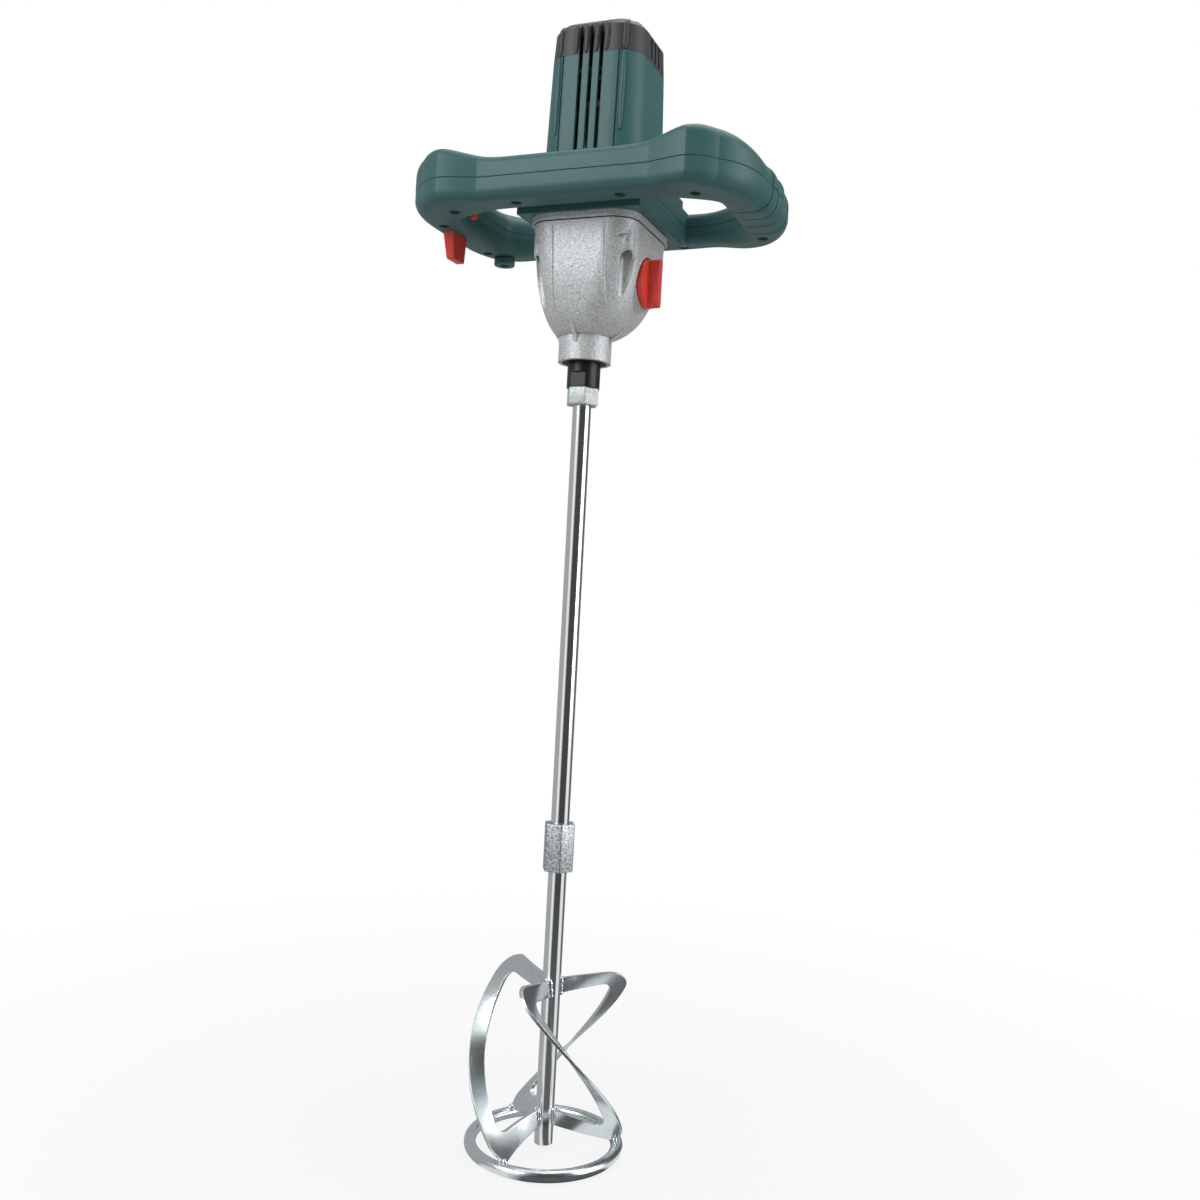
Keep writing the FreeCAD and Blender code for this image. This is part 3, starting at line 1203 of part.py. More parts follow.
def make_upper_shell():
    wall = s.case_wall
    outer = loop_shape(0, True).fuse(centre_block(0, True))
    inner = loop_shape(wall, True).fuse(centre_block(wall, True))
    bosses = case_bosses(s.handle_upper, z_parting)
    inner = inner.cut(bosses[0].multiFuse(bosses[1:]))
    cuts = [barrel_shape(-s.part_gap, z_parting, z_roof + s.overrun)]
    for point in case_screw_places():
        cuts.append(post(s.case_screw_d / 2 + s.weld_fit, s.case_screw_reach, point.x, point.y, z_parting))
    shell = outer.cut(inner).cut(cuts[0].multiFuse(cuts[1:] + grip_grooves(True)))
    shell = max(shell.Solids, key=lambda solid: solid.Volume)
    node("upper_handle_shell", formed("upper_shell_solid", shell))


def make_lower_shell():
    wall = s.case_wall
    outer = loop_shape(0, False).fuse(centre_block(0, False))
    inner = loop_shape(wall, False).fuse(centre_block(wall, False))
    keep = case_bosses(s.handle_lower, z_handle)
    keep += [cradle_rib(side) for side in (-1, 1)]
    inner = inner.cut(keep[0].multiFuse(keep[1:]))
    flange = barrel_base_half + s.flange_lip + s.part_gap
    slot_x = s.trigger_width + s.part_gap * 2
    slot_y = s.trigger_len + s.part_gap * 2
    inlet = loop_point(math.radians(INLET_ANGLE))
    grip_face = grip_half - loop_x
    cuts = [
        rounded_block(flange, flange, s.barrel_corner, z_handle - s.overrun, s.handle_lower + s.overrun * 2),
        Part.makeBox(slot_x, slot_y, wall + s.overrun * 2,
                     Vector(-loop_x - s.switch_shift - slot_x / 2, s.trigger_y - slot_y / 2,
                            z_handle - s.overrun)),
        post(s.inlet_neck_d / 2 + s.weld_fit, wall + s.overrun * 2, inlet.x, inlet.y, z_handle - s.overrun),
        post(s.lock_d / 2 + s.slide_fit, grip_half, grip_face - s.lock_depth - s.lock_flange, -s.lock_y,
             z_parting - s.lock_drop, Vector(1, 0, 0)),
    ]
    for point in case_screw_places():
        cuts.append(post(s.case_screw_d / 2 + s.screw_room, s.handle_lower, point.x, point.y, z_handle))
        cuts.append(post(s.case_screw_head_d / 2 + s.screw_room, s.case_screw_sunk + s.overrun,
                         point.x, point.y, z_handle - s.overrun))
    shell = outer.cut(inner).cut(cuts[0].multiFuse(cuts[1:] + grip_grooves(False))).cut(seam_shape())
    shell = max(shell.Solids, key=lambda solid: solid.Volume)
    node("lower_handle_shell", formed("lower_shell_solid", shell))


def switch_low():
    """Underside of the switch, clear of the pressed trigger."""
    return z_handle + s.case_wall + s.trigger_seat + s.trigger_lip_plate + s.trigger_travel + s.trigger_stop


def cradle_rib(side):
    """A rib across the grip that carries one end of the switch."""
    y = s.switch_y + side * (s.switch_len - s.cradle_rib) / 2 - s.cradle_rib / 2
    return Part.makeBox(s.cradle_width, s.cradle_rib, switch_low() - z_handle,
                        Vector(-loop_x - s.switch_shift - s.cradle_width / 2, y, z_handle))


# Switch, trigger, lock button and cord inlet
def make_controls():
    node("switch_module", box("switch_case", s.switch_width, s.switch_len, s.switch_height,
                              -loop_x - s.switch_shift, s.switch_y, switch_low()))
    lip_z = z_handle + s.case_wall + s.trigger_seat
    lip = box("trigger_lip", s.trigger_width + s.trigger_lip * 2, s.trigger_len + s.trigger_lip * 2,
              s.trigger_lip_plate, -loop_x - s.switch_shift, s.trigger_y, lip_z)
    wedge = doc.addObject("Part::Wedge", "trigger_blade")
    depth = lip_z - z_handle + s.trigger_drop
    tip_side = (s.trigger_width - s.trigger_tip_width) / 2
    sizes = {
        "Xmin": 0, "Ymin": 0, "Zmin": 0, "Xmax": s.trigger_len, "Ymax": depth, "Zmax": s.trigger_width,
        "X2min": 0, "Z2min": tip_side, "X2max": s.trigger_tip_len, "Z2max": s.trigger_width - tip_side,
    }
    for prop, size in sizes.items():
        if isinstance(size, Size):
            bind(wedge, prop, size)
        else:
            setattr(wedge, prop, 0)
    down = Rotation(Vector(0, -1, 0), Vector(0, 0, -1), Vector(1, 0, 0), "XYZ")
    place(wedge, -loop_x - s.switch_shift - s.trigger_width / 2, s.trigger_y + s.trigger_len / 2, lip_z, down)
    node("trigger", fuse("trigger_solid", lip, wedge))
    face = grip_half - loop_x
    z_lock = z_parting - s.lock_drop
    stem_start = face - s.lock_depth
    stem = cylinder("lock_stem", s.lock_d / 2, s.lock_depth + s.lock_proud, stem_start, -s.lock_y, z_lock,
                    ALONG_X)
    flange = cylinder("lock_flange", s.lock_flange_d / 2, s.lock_flange, stem_start - s.lock_flange,
                      -s.lock_y, z_lock, ALONG_X)
    node("lock_button", fuse("lock_solid", stem, flange))
    inlet = loop_point(math.radians(INLET_ANGLE))
    bore = s.inlet_bore_d / 2
    outline = [
        (bore, 0), (s.inlet_d / 2, 0), (s.inlet_d / 2, s.inlet_proud), (s.inlet_neck_d / 2, s.inlet_proud),
        (s.inlet_neck_d / 2, s.inlet_proud + s.case_wall), (bore, s.inlet_proud + s.case_wall),
    ]
    node("cord_inlet", turned("inlet_ring", outline, inlet.x, inlet.y, z_handle - s.inlet_proud - s.part_gap))


# Screws
def make_screws():
    case = [
        screw("case_screw_%d" % number, s.case_screw_head_d, s.case_screw_head, s.case_screw_d,
              s.handle_lower - s.case_screw_sunk + s.case_screw_reach - s.screw_room, point.x, point.y,
              z_handle + s.case_screw_sunk, ALONG_Z, -s.case_screw_head)
        for number, point in enumerate(case_screw_places(), 1)
    ]
    node("handle_screws", group("handle_screw_set", case))
    gearbox = [
        screw("box_screw_%d" % number, s.box_screw_head_d, s.box_screw_head, s.box_screw_d,
              s.box_screw_seat + s.cover_plate + s.flange_len - s.screw_room, x, y,
              z_cover - s.box_screw_seat, ALONG_Z, -s.box_screw_head)
        for number, (x, y) in enumerate(box_screw_places(), 1)
    ]
    node("gearbox_screws", group("box_screw_set", gearbox))
    seat = z_top - s.cap_screw_sunk - s.cap_screw_head
    reach = seat - z_spider - s.spider_plate
    cap = [
        screw("cap_screw_%d" % number, s.cap_screw_head_d, s.cap_screw_head, s.cap_screw_d, reach, x, y,
              seat - reach, ALONG_Z, reach)
        for number, (x, y) in enumerate(cap_screw_places(), 1)
    ]
    node("cap_screws", group("cap_screw_set", cap))


def screw(name, head_d, head_len, shank_d, reach, x, y, z, turn, head_lift):
    """A screw whose shank starts at z, with its head head_lift above that."""
    shank = cylinder(name + "_shank", shank_d / 2, reach, x, y, z, turn)
    head = cylinder(name + "_head", head_d / 2, head_len, x, y, z + head_lift, turn)
    return fuse(name, shank, head)


def write_parts():
    doc.recompute()
    for obj in doc.Objects:
        if "Invalid" in obj.State or "Error" in obj.State:
            raise RuntimeError("%s failed: %s" % (obj.Label, obj.State))
    for obj in nodes:
        if obj.Shape.isNull() or not obj.Shape.isValid() or not obj.Shape.Solids:
            raise RuntimeError("%s has no sound solid" % obj.Label)
    os.makedirs("parts", exist_ok=True)
    for obj in nodes:
        obj.Shape.exportStep("parts/%s.step" % obj.Label)


make_paddle()
make_spindle()
make_gearbox()
make_bridge()
make_cover()
make_layshaft()
make_selector()
make_armature()
make_stator()
make_brushes()
make_barrel()
make_cap()
make_upper_shell()
make_lower_shell()
make_controls()
make_screws()
write_parts()
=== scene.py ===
import json
import math

import bmesh
import bpy
from mathutils import Matrix, Vector


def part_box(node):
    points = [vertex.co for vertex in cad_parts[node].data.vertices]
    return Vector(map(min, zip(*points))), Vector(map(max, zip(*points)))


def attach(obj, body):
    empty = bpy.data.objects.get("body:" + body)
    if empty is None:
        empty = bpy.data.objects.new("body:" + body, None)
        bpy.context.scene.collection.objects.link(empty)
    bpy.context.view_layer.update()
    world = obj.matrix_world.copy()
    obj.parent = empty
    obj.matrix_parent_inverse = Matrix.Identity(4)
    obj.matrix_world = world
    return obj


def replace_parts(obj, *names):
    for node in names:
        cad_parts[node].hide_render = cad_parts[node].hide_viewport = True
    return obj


MM = 0.001
UP = Vector((0, 0, 1))
WHITE = (1, 1, 1, 1)

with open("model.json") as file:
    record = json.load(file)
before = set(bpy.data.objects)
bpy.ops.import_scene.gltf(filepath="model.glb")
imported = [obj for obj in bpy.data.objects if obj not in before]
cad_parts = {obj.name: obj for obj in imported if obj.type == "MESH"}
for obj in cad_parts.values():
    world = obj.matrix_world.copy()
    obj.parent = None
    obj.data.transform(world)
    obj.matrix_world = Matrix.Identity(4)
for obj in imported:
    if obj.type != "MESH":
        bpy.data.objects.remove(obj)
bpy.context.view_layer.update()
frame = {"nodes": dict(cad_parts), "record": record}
nodes = frame["nodes"]

# Shading: the soft edges, the depth of the grain and the detail of the noise.
EDGE_RADIUS = 0.8 * MM
EDGE_SAMPLES = 6
GRAIN_DEPTH = 0.3 * MM
GRAIN_DETAIL = 3
BLOTCH_DETAIL = 6

# Meshes: angles in degrees from which an edge is sharp and up to which faces are one.
SHARP_ANGLE = 40
FLAT_ANGLE = 1
JOIN_GAP = 0.005 * MM

# Small pieces with rounded edges: node, radius, and a look where it isn't that of the slot.
EDGE_STEPS = 3
ROUND_PROFILE = 0.5
ROUNDED_NODES = (
    ("trigger", 1.5 * MM, None),
    ("selector_knob", 1.0 * MM, None),
    ("lock_button", 0.8 * MM, None),
    ("cord_inlet", 0.8 * MM, None),
    ("hex_nut", 0.7 * MM, "dull_zinc"),
    ("coupling_sleeve", 0.7 * MM, "worn_zinc"),
)

# Creases of the handle's knuckles, by their direction from the middle of the tool in degrees.
KNUCKLE_INNER = -51.5
KNUCKLE_MIDDLE = -43.5
KNUCKLE_OUTER = -34
KNUCKLE_RIDGE = 6.5 * MM

# The middle line of the loop handle is a superellipse.
HANDLE_REACH = (117 * MM, 66 * MM)
HANDLE_POWER = 4.5
GRIP_HALF = 18 * MM

# Upright ribs: places across the tool, half width and height above the face.
BELL_RIB_PLACES = (-20 * MM, 20 * MM)
BELL_RIB_HEIGHTS = (36 * MM, 92 * MM)
BELL_RIB_SIZE = (1.6 * MM, 0.8 * MM)
CAP_RIB_PLACES = (-25.2 * MM, -12 * MM, -4 * MM, 4 * MM, 12 * MM, 25.2 * MM)
CAP_RIB_GAP = 1 * MM
CAP_RIB_SIZE = (2.2 * MM, 1.7 * MM)
BARREL_RIB_PLACES = (-25.2 * MM, 25.2 * MM)
BARREL_RIB_DEPTHS = (58 * MM, 0.3 * MM)
BARREL_RIB_SIZE = (2.0 * MM, 1.9 * MM)
RIB_STEPS = 16
RIB_SIDES = 12

# How blunt the ends of a rib are: steps that its taper goes on past them, and the taper's power.
RIB_END = 0.3
RIB_FULLNESS = 0.25

# Gussets at the nose of the gearbox: height above its lower end and distance from its face.
NOSE_RADIUS = 20 * MM
FIN_ANGLES = (-90, 0, 90, 180)
FIN_EDGE = ((13 * MM, 0.4 * MM), (17 * MM, 1.6 * MM), (24 * MM, 1.0 * MM), (27 * MM, -0.5 * MM))
FIN_HALF_WIDTH = 1.5 * MM
FIN_SUNK = 2 * MM

# Gasket under the flange plate
BELL_CORNER = 18 * MM
CORNER_STEPS = 10
GASKET_PLATE = 0.7 * MM
GASKET_WIDTH = 3 * MM
GASKET_PROUD = 0.3 * MM

# Paddle, as in the frame
SPINDLE_X = -8 * MM
BLADE_ANGLES = (30, 150, 270)
BLADE_SWEEP = 105
BLADE_TOP = 130 * MM
BLADE_LOW = 16 * MM

# Weld beads: name, lower end, upper end, distance from the spindle, number and radius of drops.
WELDS = (
    ("weld_top", 117 * MM, 128 * MM, 7.1 * MM, 7, 1.6 * MM),
    ("weld_low", 20 * MM, 30 * MM, 7.1 * MM, 7, 1.6 * MM),
    ("weld_ring", 8.6 * MM, 9.6 * MM, 54 * MM, 5, 1.9 * MM),
)
WELD_SHIFT = 1.7 * MM
DROP_VARIATION = 0.18
DROP_TURN = 2.3
DROP_SUBDIVISIONS = 3

# Camera, in metres and degrees
CAMERA_PLACE = (0.345, -0.838, 0.416)
CAMERA_LOOK = (-0.3665, 0.9304, 0)
CAMERA_ROLL = 3.02
CAMERA_LENS = 36
CAMERA_SENSOR = 36
CAMERA_REACH = 200

# Floor: it glows white away from the tool and keeps the shadow near it.
FLOOR_SIZE = 80
FLOOR_DROP = 0.2 * MM
FLOOR_TONES = ((0.45, 0.45, 0.45), (0.47, 0.47, 0.47))
FLOOR_GRAIN = 3
FLOOR_DETAIL = 4
FLOOR_ROUGHNESS = 0.9
FLOOR_SPECULAR = 0.1
FLOOR_FADE = (0.15, 0.8)
FLOOR_WHITE_SHARES = (0.86, 1.0)

# What polished metal mirrors round the tool: direction in degrees, brightness.
STUDIO_BANDS = (
    (-180, 0.45), (-128, 0.45), (-123, 1.0), (-101, 1.0), (-89, 0.07), (-17, 0.07),
    (-9, 1.0), (28, 1.0), (36, 0.12), (76, 0.12), (84, 0.45), (180, 0.45),
)
SKY_STRENGTH = 0.45

# Where a new stop of a colour ramp starts, before it gets its own place.
STOP_START = 0.5

# Lamps: name, place, target, size and power in watts.
LAMPS = (
    ("key", (-0.9, -1.6, 1.5), (0, 0, 0.55), (1.0, 1.2), 26),
    ("fill", (1.8, 0.1, 0.9), (0, 0, 0.5), (1.2, 1.6), 19),
    ("top", (0.2, 0.3, 2.2), (0, 0, 0.6), (1.5, 1.5), 18),
)


# Materials
def new_material(name):
    """A new node material, its tree and its main shader."""
    material = bpy.data.materials.new(name)
    material.use_nodes = True
    tree = material.node_tree
    return material, tree, tree.nodes["Principled BSDF"]


def noise(tree, scale, detail, stretch=(1, 1, 1)):
    """Noise in the object's own space, stretched along its axes."""
    place = tree.nodes.new("ShaderNodeTexCoord")
    mapping = tree.nodes.new("ShaderNodeMapping")
    mapping.inputs["Scale"].default_value = stretch
    texture = tree.nodes.new("ShaderNodeTexNoise")
    texture.inputs["Scale"].default_value = scale
    texture.inputs["Detail"].default_value = detail
    tree.links.new(place.outputs["Object"], mapping.inputs["Vector"])
    tree.links.new(mapping.outputs["Vector"], texture.inputs["Vector"])
    return texture.outputs["Fac"]


def mapped(tree, source, span=(0, 1), result=(0, 1)):
    """Maps a value from one span onto another."""
    node = tree.nodes.new("ShaderNodeMapRange")
    node.inputs["From Min"].default_value = span[0]
    node.inputs["From Max"].default_value = span[1]
    node.inputs["To Min"].default_value = result[0]
    node.inputs["To Max"].default_value = result[1]
    tree.links.new(source, node.inputs["Value"])
    return node.outputs["Result"]


def calculated(tree, operation, first, second):
    """The result of a maths operation on two values."""
    node = tree.nodes.new("ShaderNodeMath")
    node.operation = operation
    tree.links.new(first, node.inputs[0])
    tree.links.new(second, node.inputs[1])
    return node.outputs["Value"]


def tint(tree, source, dark, light):
    """Blends two colours by a 0 to 1 value."""
    node = tree.nodes.new("ShaderNodeMix")
    node.data_type = "RGBA"
    node.inputs["A"].default_value = (*dark, 1)
    node.inputs["B"].default_value = (*light, 1)
    tree.links.new(source, node.inputs["Factor"])
    return node.outputs["Result"]


def soft_edges(tree):
    """A normal that runs round each edge, as on a moulded or deburred piece."""
    node = tree.nodes.new("ShaderNodeBevel")
    node.samples = EDGE_SAMPLES
    node.inputs["Radius"].default_value = EDGE_RADIUS
    return node.outputs["Normal"]


def surface(name, dark, light, rough, metallic=0, grain=400, bump=0.1, blotch=25,
            stretch=(1, 1, 1), specular=0.5, span=(0, 1)):
    """A painted, moulded or plated surface: blotches in the colour, grain in the relief."""
    material, tree, shader = new_material(name)
    patches = noise(tree, blotch, BLOTCH_DETAIL, stretch)
    fine = noise(tree, grain, GRAIN_DETAIL, stretch)
    colour = tint(tree, mapped(tree, patches, span), dark, light)
    tree.links.new(colour, shader.inputs["Base Color"])
    tree.links.new(mapped(tree, fine, result=rough), shader.inputs["Roughness"])
    shader.inputs["Metallic"].default_value = metallic
    shader.inputs["Specular IOR Level"].default_value = specular
    relief = tree.nodes.new("ShaderNodeBump")
    relief.inputs["Strength"].default_value = bump
    relief.inputs["Distance"].default_value = GRAIN_DEPTH
    tree.links.new(fine, relief.inputs["Height"])
    tree.links.new(soft_edges(tree), relief.inputs["Normal"])
    tree.links.new(relief.outputs["Normal"], shader.inputs["Normal"])
    return material


# Dark and light colour, span of roughness, and what differs from the defaults of surface.
LOOK_VALUES = {
    "green_plastic": dict(
        dark=(0.033, 0.104, 0.102), light=(0.040, 0.118, 0.116), rough=(0.38, 0.52),
        grain=1400, bump=0.25, blotch=18, specular=0.32),
    "grey_plastic": dict(
        dark=(0.038, 0.039, 0.044), light=(0.048, 0.049, 0.055), rough=(0.4, 0.55),
        grain=1400, bump=0.25, blotch=18, specular=0.35),
    "red_plastic": dict(
        dark=(0.60, 0.036, 0.024), light=(0.68, 0.046, 0.030), rough=(0.3, 0.4), grain=900),
    "black_plastic": dict(
        dark=(0.012, 0.012, 0.013), light=(0.02, 0.02, 0.022), rough=(0.4, 0.5),
        grain=900, bump=0.15),
    "black_rubber": dict(
        dark=(0.012, 0.012, 0.012), light=(0.02, 0.02, 0.02), rough=(0.6, 0.75),
        grain=700, bump=0.2),
    "cast_paint": dict(
        dark=(0.37, 0.385, 0.395), light=(0.64, 0.655, 0.67), rough=(0.40, 0.58),
        metallic=0.35, grain=700, bump=0.9, blotch=800, span=(0.35, 0.65)),
    "cast_alloy": dict(
        dark=(0.5, 0.5, 0.51), light=(0.6, 0.6, 0.61), rough=(0.35, 0.5),
        metallic=0.9, grain=500, bump=0.3),
    "black_steel": dict(
        dark=(0.012, 0.012, 0.013), light=(0.03, 0.03, 0.032), rough=(0.3, 0.45),
        metallic=0.6, grain=300, bump=0.15),
    "zinc_steel": dict(
        dark=(0.56, 0.62, 0.64), light=(0.74, 0.79, 0.81), rough=(0.14, 0.30),
        metallic=1, grain=900, bump=0.12, blotch=120),
    "worn_zinc": dict(
        dark=(0.16, 0.17, 0.18), light=(0.66, 0.70, 0.72), rough=(0.35, 0.6),
        metallic=1, grain=700, bump=0.6, blotch=800, span=(0.32, 0.68)),
    "dull_zinc": dict(
        dark=(0.34, 0.37, 0.37), light=(0.55, 0.59, 0.59), rough=(0.42, 0.58),
        metallic=0.4, grain=700, bump=0.3, blotch=400, span=(0.3, 0.7)),
    "bright_steel": dict(
        dark=(0.68, 0.71, 0.72), light=(0.80, 0.82, 0.83), rough=(0.08, 0.16),
        metallic=1, grain=300, bump=0.04, blotch=60, stretch=(1, 1, 0.05)),
    "screw_steel": dict(
        dark=(0.35, 0.35, 0.36), light=(0.5, 0.5, 0.51), rough=(0.3, 0.45),
        metallic=1, grain=500),
    "tool_steel": dict(
        dark=(0.4, 0.4, 0.41), light=(0.52, 0.52, 0.53), rough=(0.25, 0.4), metallic=1),
    "copper": dict(
        dark=(0.10, 0.030, 0.014), light=(0.15, 0.046, 0.02), rough=(0.35, 0.5),
        metallic=0.5, grain=900, bump=0.3),
    "bronze": dict(
        dark=(0.36, 0.24, 0.1), light=(0.46, 0.32, 0.14), rough=(0.35, 0.5),
        metallic=0.9, grain=700, bump=0.2),
    "brass": dict(
        dark=(0.55, 0.38, 0.12), light=(0.65, 0.47, 0.17), rough=(0.25, 0.4),
        metallic=1, grain=500),
    "carbon": dict(
        dark=(0.012, 0.012, 0.012), light=(0.025, 0.025, 0.025), rough=(0.6, 0.75),
        grain=900, bump=0.3),
}
LOOKS = {name: surface(name, **values) for name, values in LOOK_VALUES.items()}


def dress(obj, slot):
    """Gives an object one look."""
    obj.data.materials.clear()
    obj.data.materials.append(LOOKS[slot])


SLOTS = {entry["node"]: entry["material_slot"] for entry in frame["record"]["subparts"]}
for node, slot in SLOTS.items():
    dress(nodes[node], slot)


# Meshes
def is_sharp(edge):
    """Whether an edge lies between two faces that meet at a clear angle."""
    return len(edge.link_faces) == 2 and edge.calc_face_angle() > math.radians(SHARP_ANGLE)


def add_piece(name, mesh, slot, body, look=None):
    """Makes a piece of the scene from a bmesh and lets it ride on a body."""
    data = bpy.data.meshes.new(name)
    bmesh.ops.recalc_face_normals(mesh, faces=mesh.faces)
    for face in mesh.faces:
        face.smooth = True
    for edge in mesh.edges:
        if is_sharp(edge):
            edge.smooth = False
    mesh.to_mesh(data)
    mesh.free()
    obj = bpy.data.objects.new(name, data)
    bpy.context.scene.collection.objects.link(obj)
    dress(obj, look or slot)
    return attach(obj, body)


def bridge(mesh, rings):
    """Faces between closed rings of as many points each."""
    for ring, following in zip(rings, rings[1:]):
        for index in range(len(ring)):
            beside = (index + 1) % len(ring)
            mesh.faces.new((ring[index], ring[beside], following[beside], following[index]))


def copied_mesh(node):
    """A CAD node's mesh in the frame, with its faces joined along their edges."""
    mesh = bmesh.new()
    mesh.from_mesh(nodes[node].data)
    mesh.transform(nodes[node].matrix_world)
    bmesh.ops.remove_doubles(mesh, verts=mesh.verts, dist=JOIN_GAP)
    return mesh


def on_face(node, start, aim):
    """The point of a CAD node that a ray meets first, and the direction out of its face there."""
    place = nodes[node].matrix_world
    back = place.inverted()
    _, point, normal, _ = nodes[node].ray_cast(back @ start, back.to_3x3() @ aim)
    return place @ point, place.to_3x3() @ normal


# Small pieces with rounded edges
def rounded_copy(node, radius, look):
    """A copy of a CAD node with its edges rounded, which stands for it."""
    mesh = copied_mesh(node)
    flat = math.radians(FLAT_ANGLE)
    bmesh.ops.dissolve_limit(mesh, angle_limit=flat, verts=mesh.verts[:], edges=mesh.edges[:])
    crisp = [edge for edge in mesh.edges if is_sharp(edge)]
    bmesh.ops.bevel(mesh, geom=crisp, offset=radius, segments=EDGE_STEPS, profile=ROUND_PROFILE,
                    affect="EDGES", clamp_overlap=True)
    bodies = frame["record"]["behaviour"]["bodies"]
    body = next(name for name, members in bodies.items() if node in members)
    piece = add_piece(node + "_rounded", mesh, SLOTS[node], body, look)
    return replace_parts(piece, node)


for node, radius, look in ROUNDED_NODES:
    rounded_copy(node, radius, look)


# Handle shells
def knuckle_lift(point):
    """How far a point of the handle moves out to crease the knuckle that it lies on."""
    direction = math.degrees(math.atan2(point.y, abs(point.x)))
    rise = (direction - KNUCKLE_INNER) / (KNUCKLE_MIDDLE - KNUCKLE_INNER)
    fall = (KNUCKLE_OUTER - direction) / (KNUCKLE_OUTER - KNUCKLE_MIDDLE)
    reach = math.hypot(point.x, point.y)
    across = abs(point.x / reach / HANDLE_REACH[0]) ** HANDLE_POWER
    along = abs(point.y / reach / HANDLE_REACH[1]) ** HANDLE_POWER
    outward = (reach - (across + along) ** (-1 / HANDLE_POWER)) / GRIP_HALF
    return KNUCKLE_RIDGE * max(min(rise, fall), 0) * min(max(outward, 0), 1)


def creased_shell(node):
    """A copy of a handle shell whose knuckles have a ridge and an edge to each side of it."""
    mesh = copied_mesh(node)
    for direction in (KNUCKLE_INNER, KNUCKLE_MIDDLE, KNUCKLE_OUTER):
        turn = math.radians(direction)
        for side in (-1, 1):
            across = Vector((-math.sin(turn) * side, math.cos(turn), 0))
            parts = mesh.verts[:] + mesh.edges[:] + mesh.faces[:]
            cut = bmesh.ops.bisect_plane(mesh, geom=parts, plane_co=Vector(), plane_no=across)
            for edge in cut["geom_cut"]:
                if isinstance(edge, bmesh.types.BMEdge) and edge.verts[0].co.y < 0:
                    edge.smooth = False
    for vert in mesh.verts:
        if vert.co.y < 0:
            out = Vector((vert.co.x, vert.co.y, 0)).normalized()
            vert.co += out * knuckle_lift(vert.co)
    piece = add_piece(node + "_creased", mesh, "green_plastic", "tool")
    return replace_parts(piece, node)


for node in ("upper_handle_shell", "lower_handle_shell"):
    creased_shell(node)


# Ribs, gussets and gasket
bell_low, bell_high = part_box("gearbox_housing")
cap_low, cap_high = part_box("top_cap")


def upright_rib(name, node, slot, x, heights, way, size):
    """A rounded rib up the front or rear face of a CAD node, which runs out at both ends."""
    half_width, proud = size
    mesh = bmesh.new()
    rings = []
    for index in range(RIB_STEPS + 1):
        z = heights[0] + (heights[1] - heights[0]) * index / RIB_STEPS
        point, normal = on_face(node, Vector((x, -way, z)), Vector((0, way, 0)))
        across = normal.cross(UP).normalized()
        along = (index + RIB_END) / (RIB_STEPS + 2 * RIB_END)
        share = math.sin(math.pi * along) ** RIB_FULLNESS
        ring = []
        for step in range(RIB_SIDES):
            turn = 2 * math.pi * step / RIB_SIDES
            offset = across * (half_width * math.cos(turn)) + normal * (proud * math.sin(turn))
            ring.append(mesh.verts.new(point + offset * share))
        rings.append(ring)
    bridge(mesh, rings)
    mesh.faces.new(rings[0])
    mesh.faces.new(rings[-1])
    return add_piece(name, mesh, slot, "tool")


def row_of_ribs(name, node, places, heights, way, size):
    """Ribs side by side on one face of a CAD node, in that node's material."""
    side = "front" if way > 0 else "rear"
    for number, x in enumerate(places, 1):
        rib = "%s_%s_%d" % (name, side, number)
        upright_rib(rib, node, SLOTS[node], x, heights, way, size)


def neck_fin(name, angle):
    """A small gusset between the housing's nose and its bell."""
    out = Vector((math.cos(math.radians(angle)), math.sin(math.radians(angle)), 0))
    across = Vector((-out.y, out.x, 0)) * FIN_HALF_WIDTH
    axis = Vector((SPINDLE_X, 0, 0))
    profile = []
    for z, proud in FIN_EDGE:
        height = Vector((0, 0, bell_low.z + z))
        point, _ = on_face("gearbox_housing", axis + height + out, -out)
        profile.append(((point - axis).dot(out) + proud, height))
    profile.append((NOSE_RADIUS - FIN_SUNK, profile[-1][1]))
    profile.append((NOSE_RADIUS - FIN_SUNK, profile[0][1]))
    mesh = bmesh.new()
    sides = []
    for shift in (-across, across):
        points = [axis + height + out * reach + shift for reach, height in profile]
        sides.append([mesh.verts.new(point) for point in points])
    mesh.faces.new(sides[0])
    mesh.faces.new(sides[1])
    bridge(mesh, sides)
    return add_piece(name, mesh, "cast_paint", "tool")


def rounded_outline(half_x, half_y, corner, z):
    """Points round a rectangle with round corners."""
    points = []
    for quarter in range(4):
        side_x = 1 if quarter in (0, 3) else -1
        side_y = 1 if quarter in (0, 1) else -1
        for step in range(CORNER_STEPS + 1):
            turn = math.pi / 2 * (quarter + step / CORNER_STEPS)
            x = side_x * (half_x - corner) + corner * math.cos(turn)
            y = side_y * (half_y - corner) + corner * math.sin(turn)
            points.append(Vector((x, y, z)))
    return points


def gasket():
    """The dark joint between the housing and its flange plate."""
    half_x = bell_high.x + GASKET_PROUD
    half_y = bell_high.y + GASKET_PROUD
    section = ((0, 0), (0, -GASKET_PLATE), (GASKET_WIDTH, -GASKET_PLATE), (GASKET_WIDTH, 0))
    mesh = bmesh.new()
    rings = []
    for inset, lift in section:
        z = bell_high.z + lift
        outline = rounded_outline(half_x - inset, half_y - inset, BELL_CORNER - inset, z)
        rings.append([mesh.verts.new(point) for point in outline])
    bridge(mesh, rings + rings[:1])
    return add_piece("gearbox_gasket", mesh, "black_rubber", "tool")


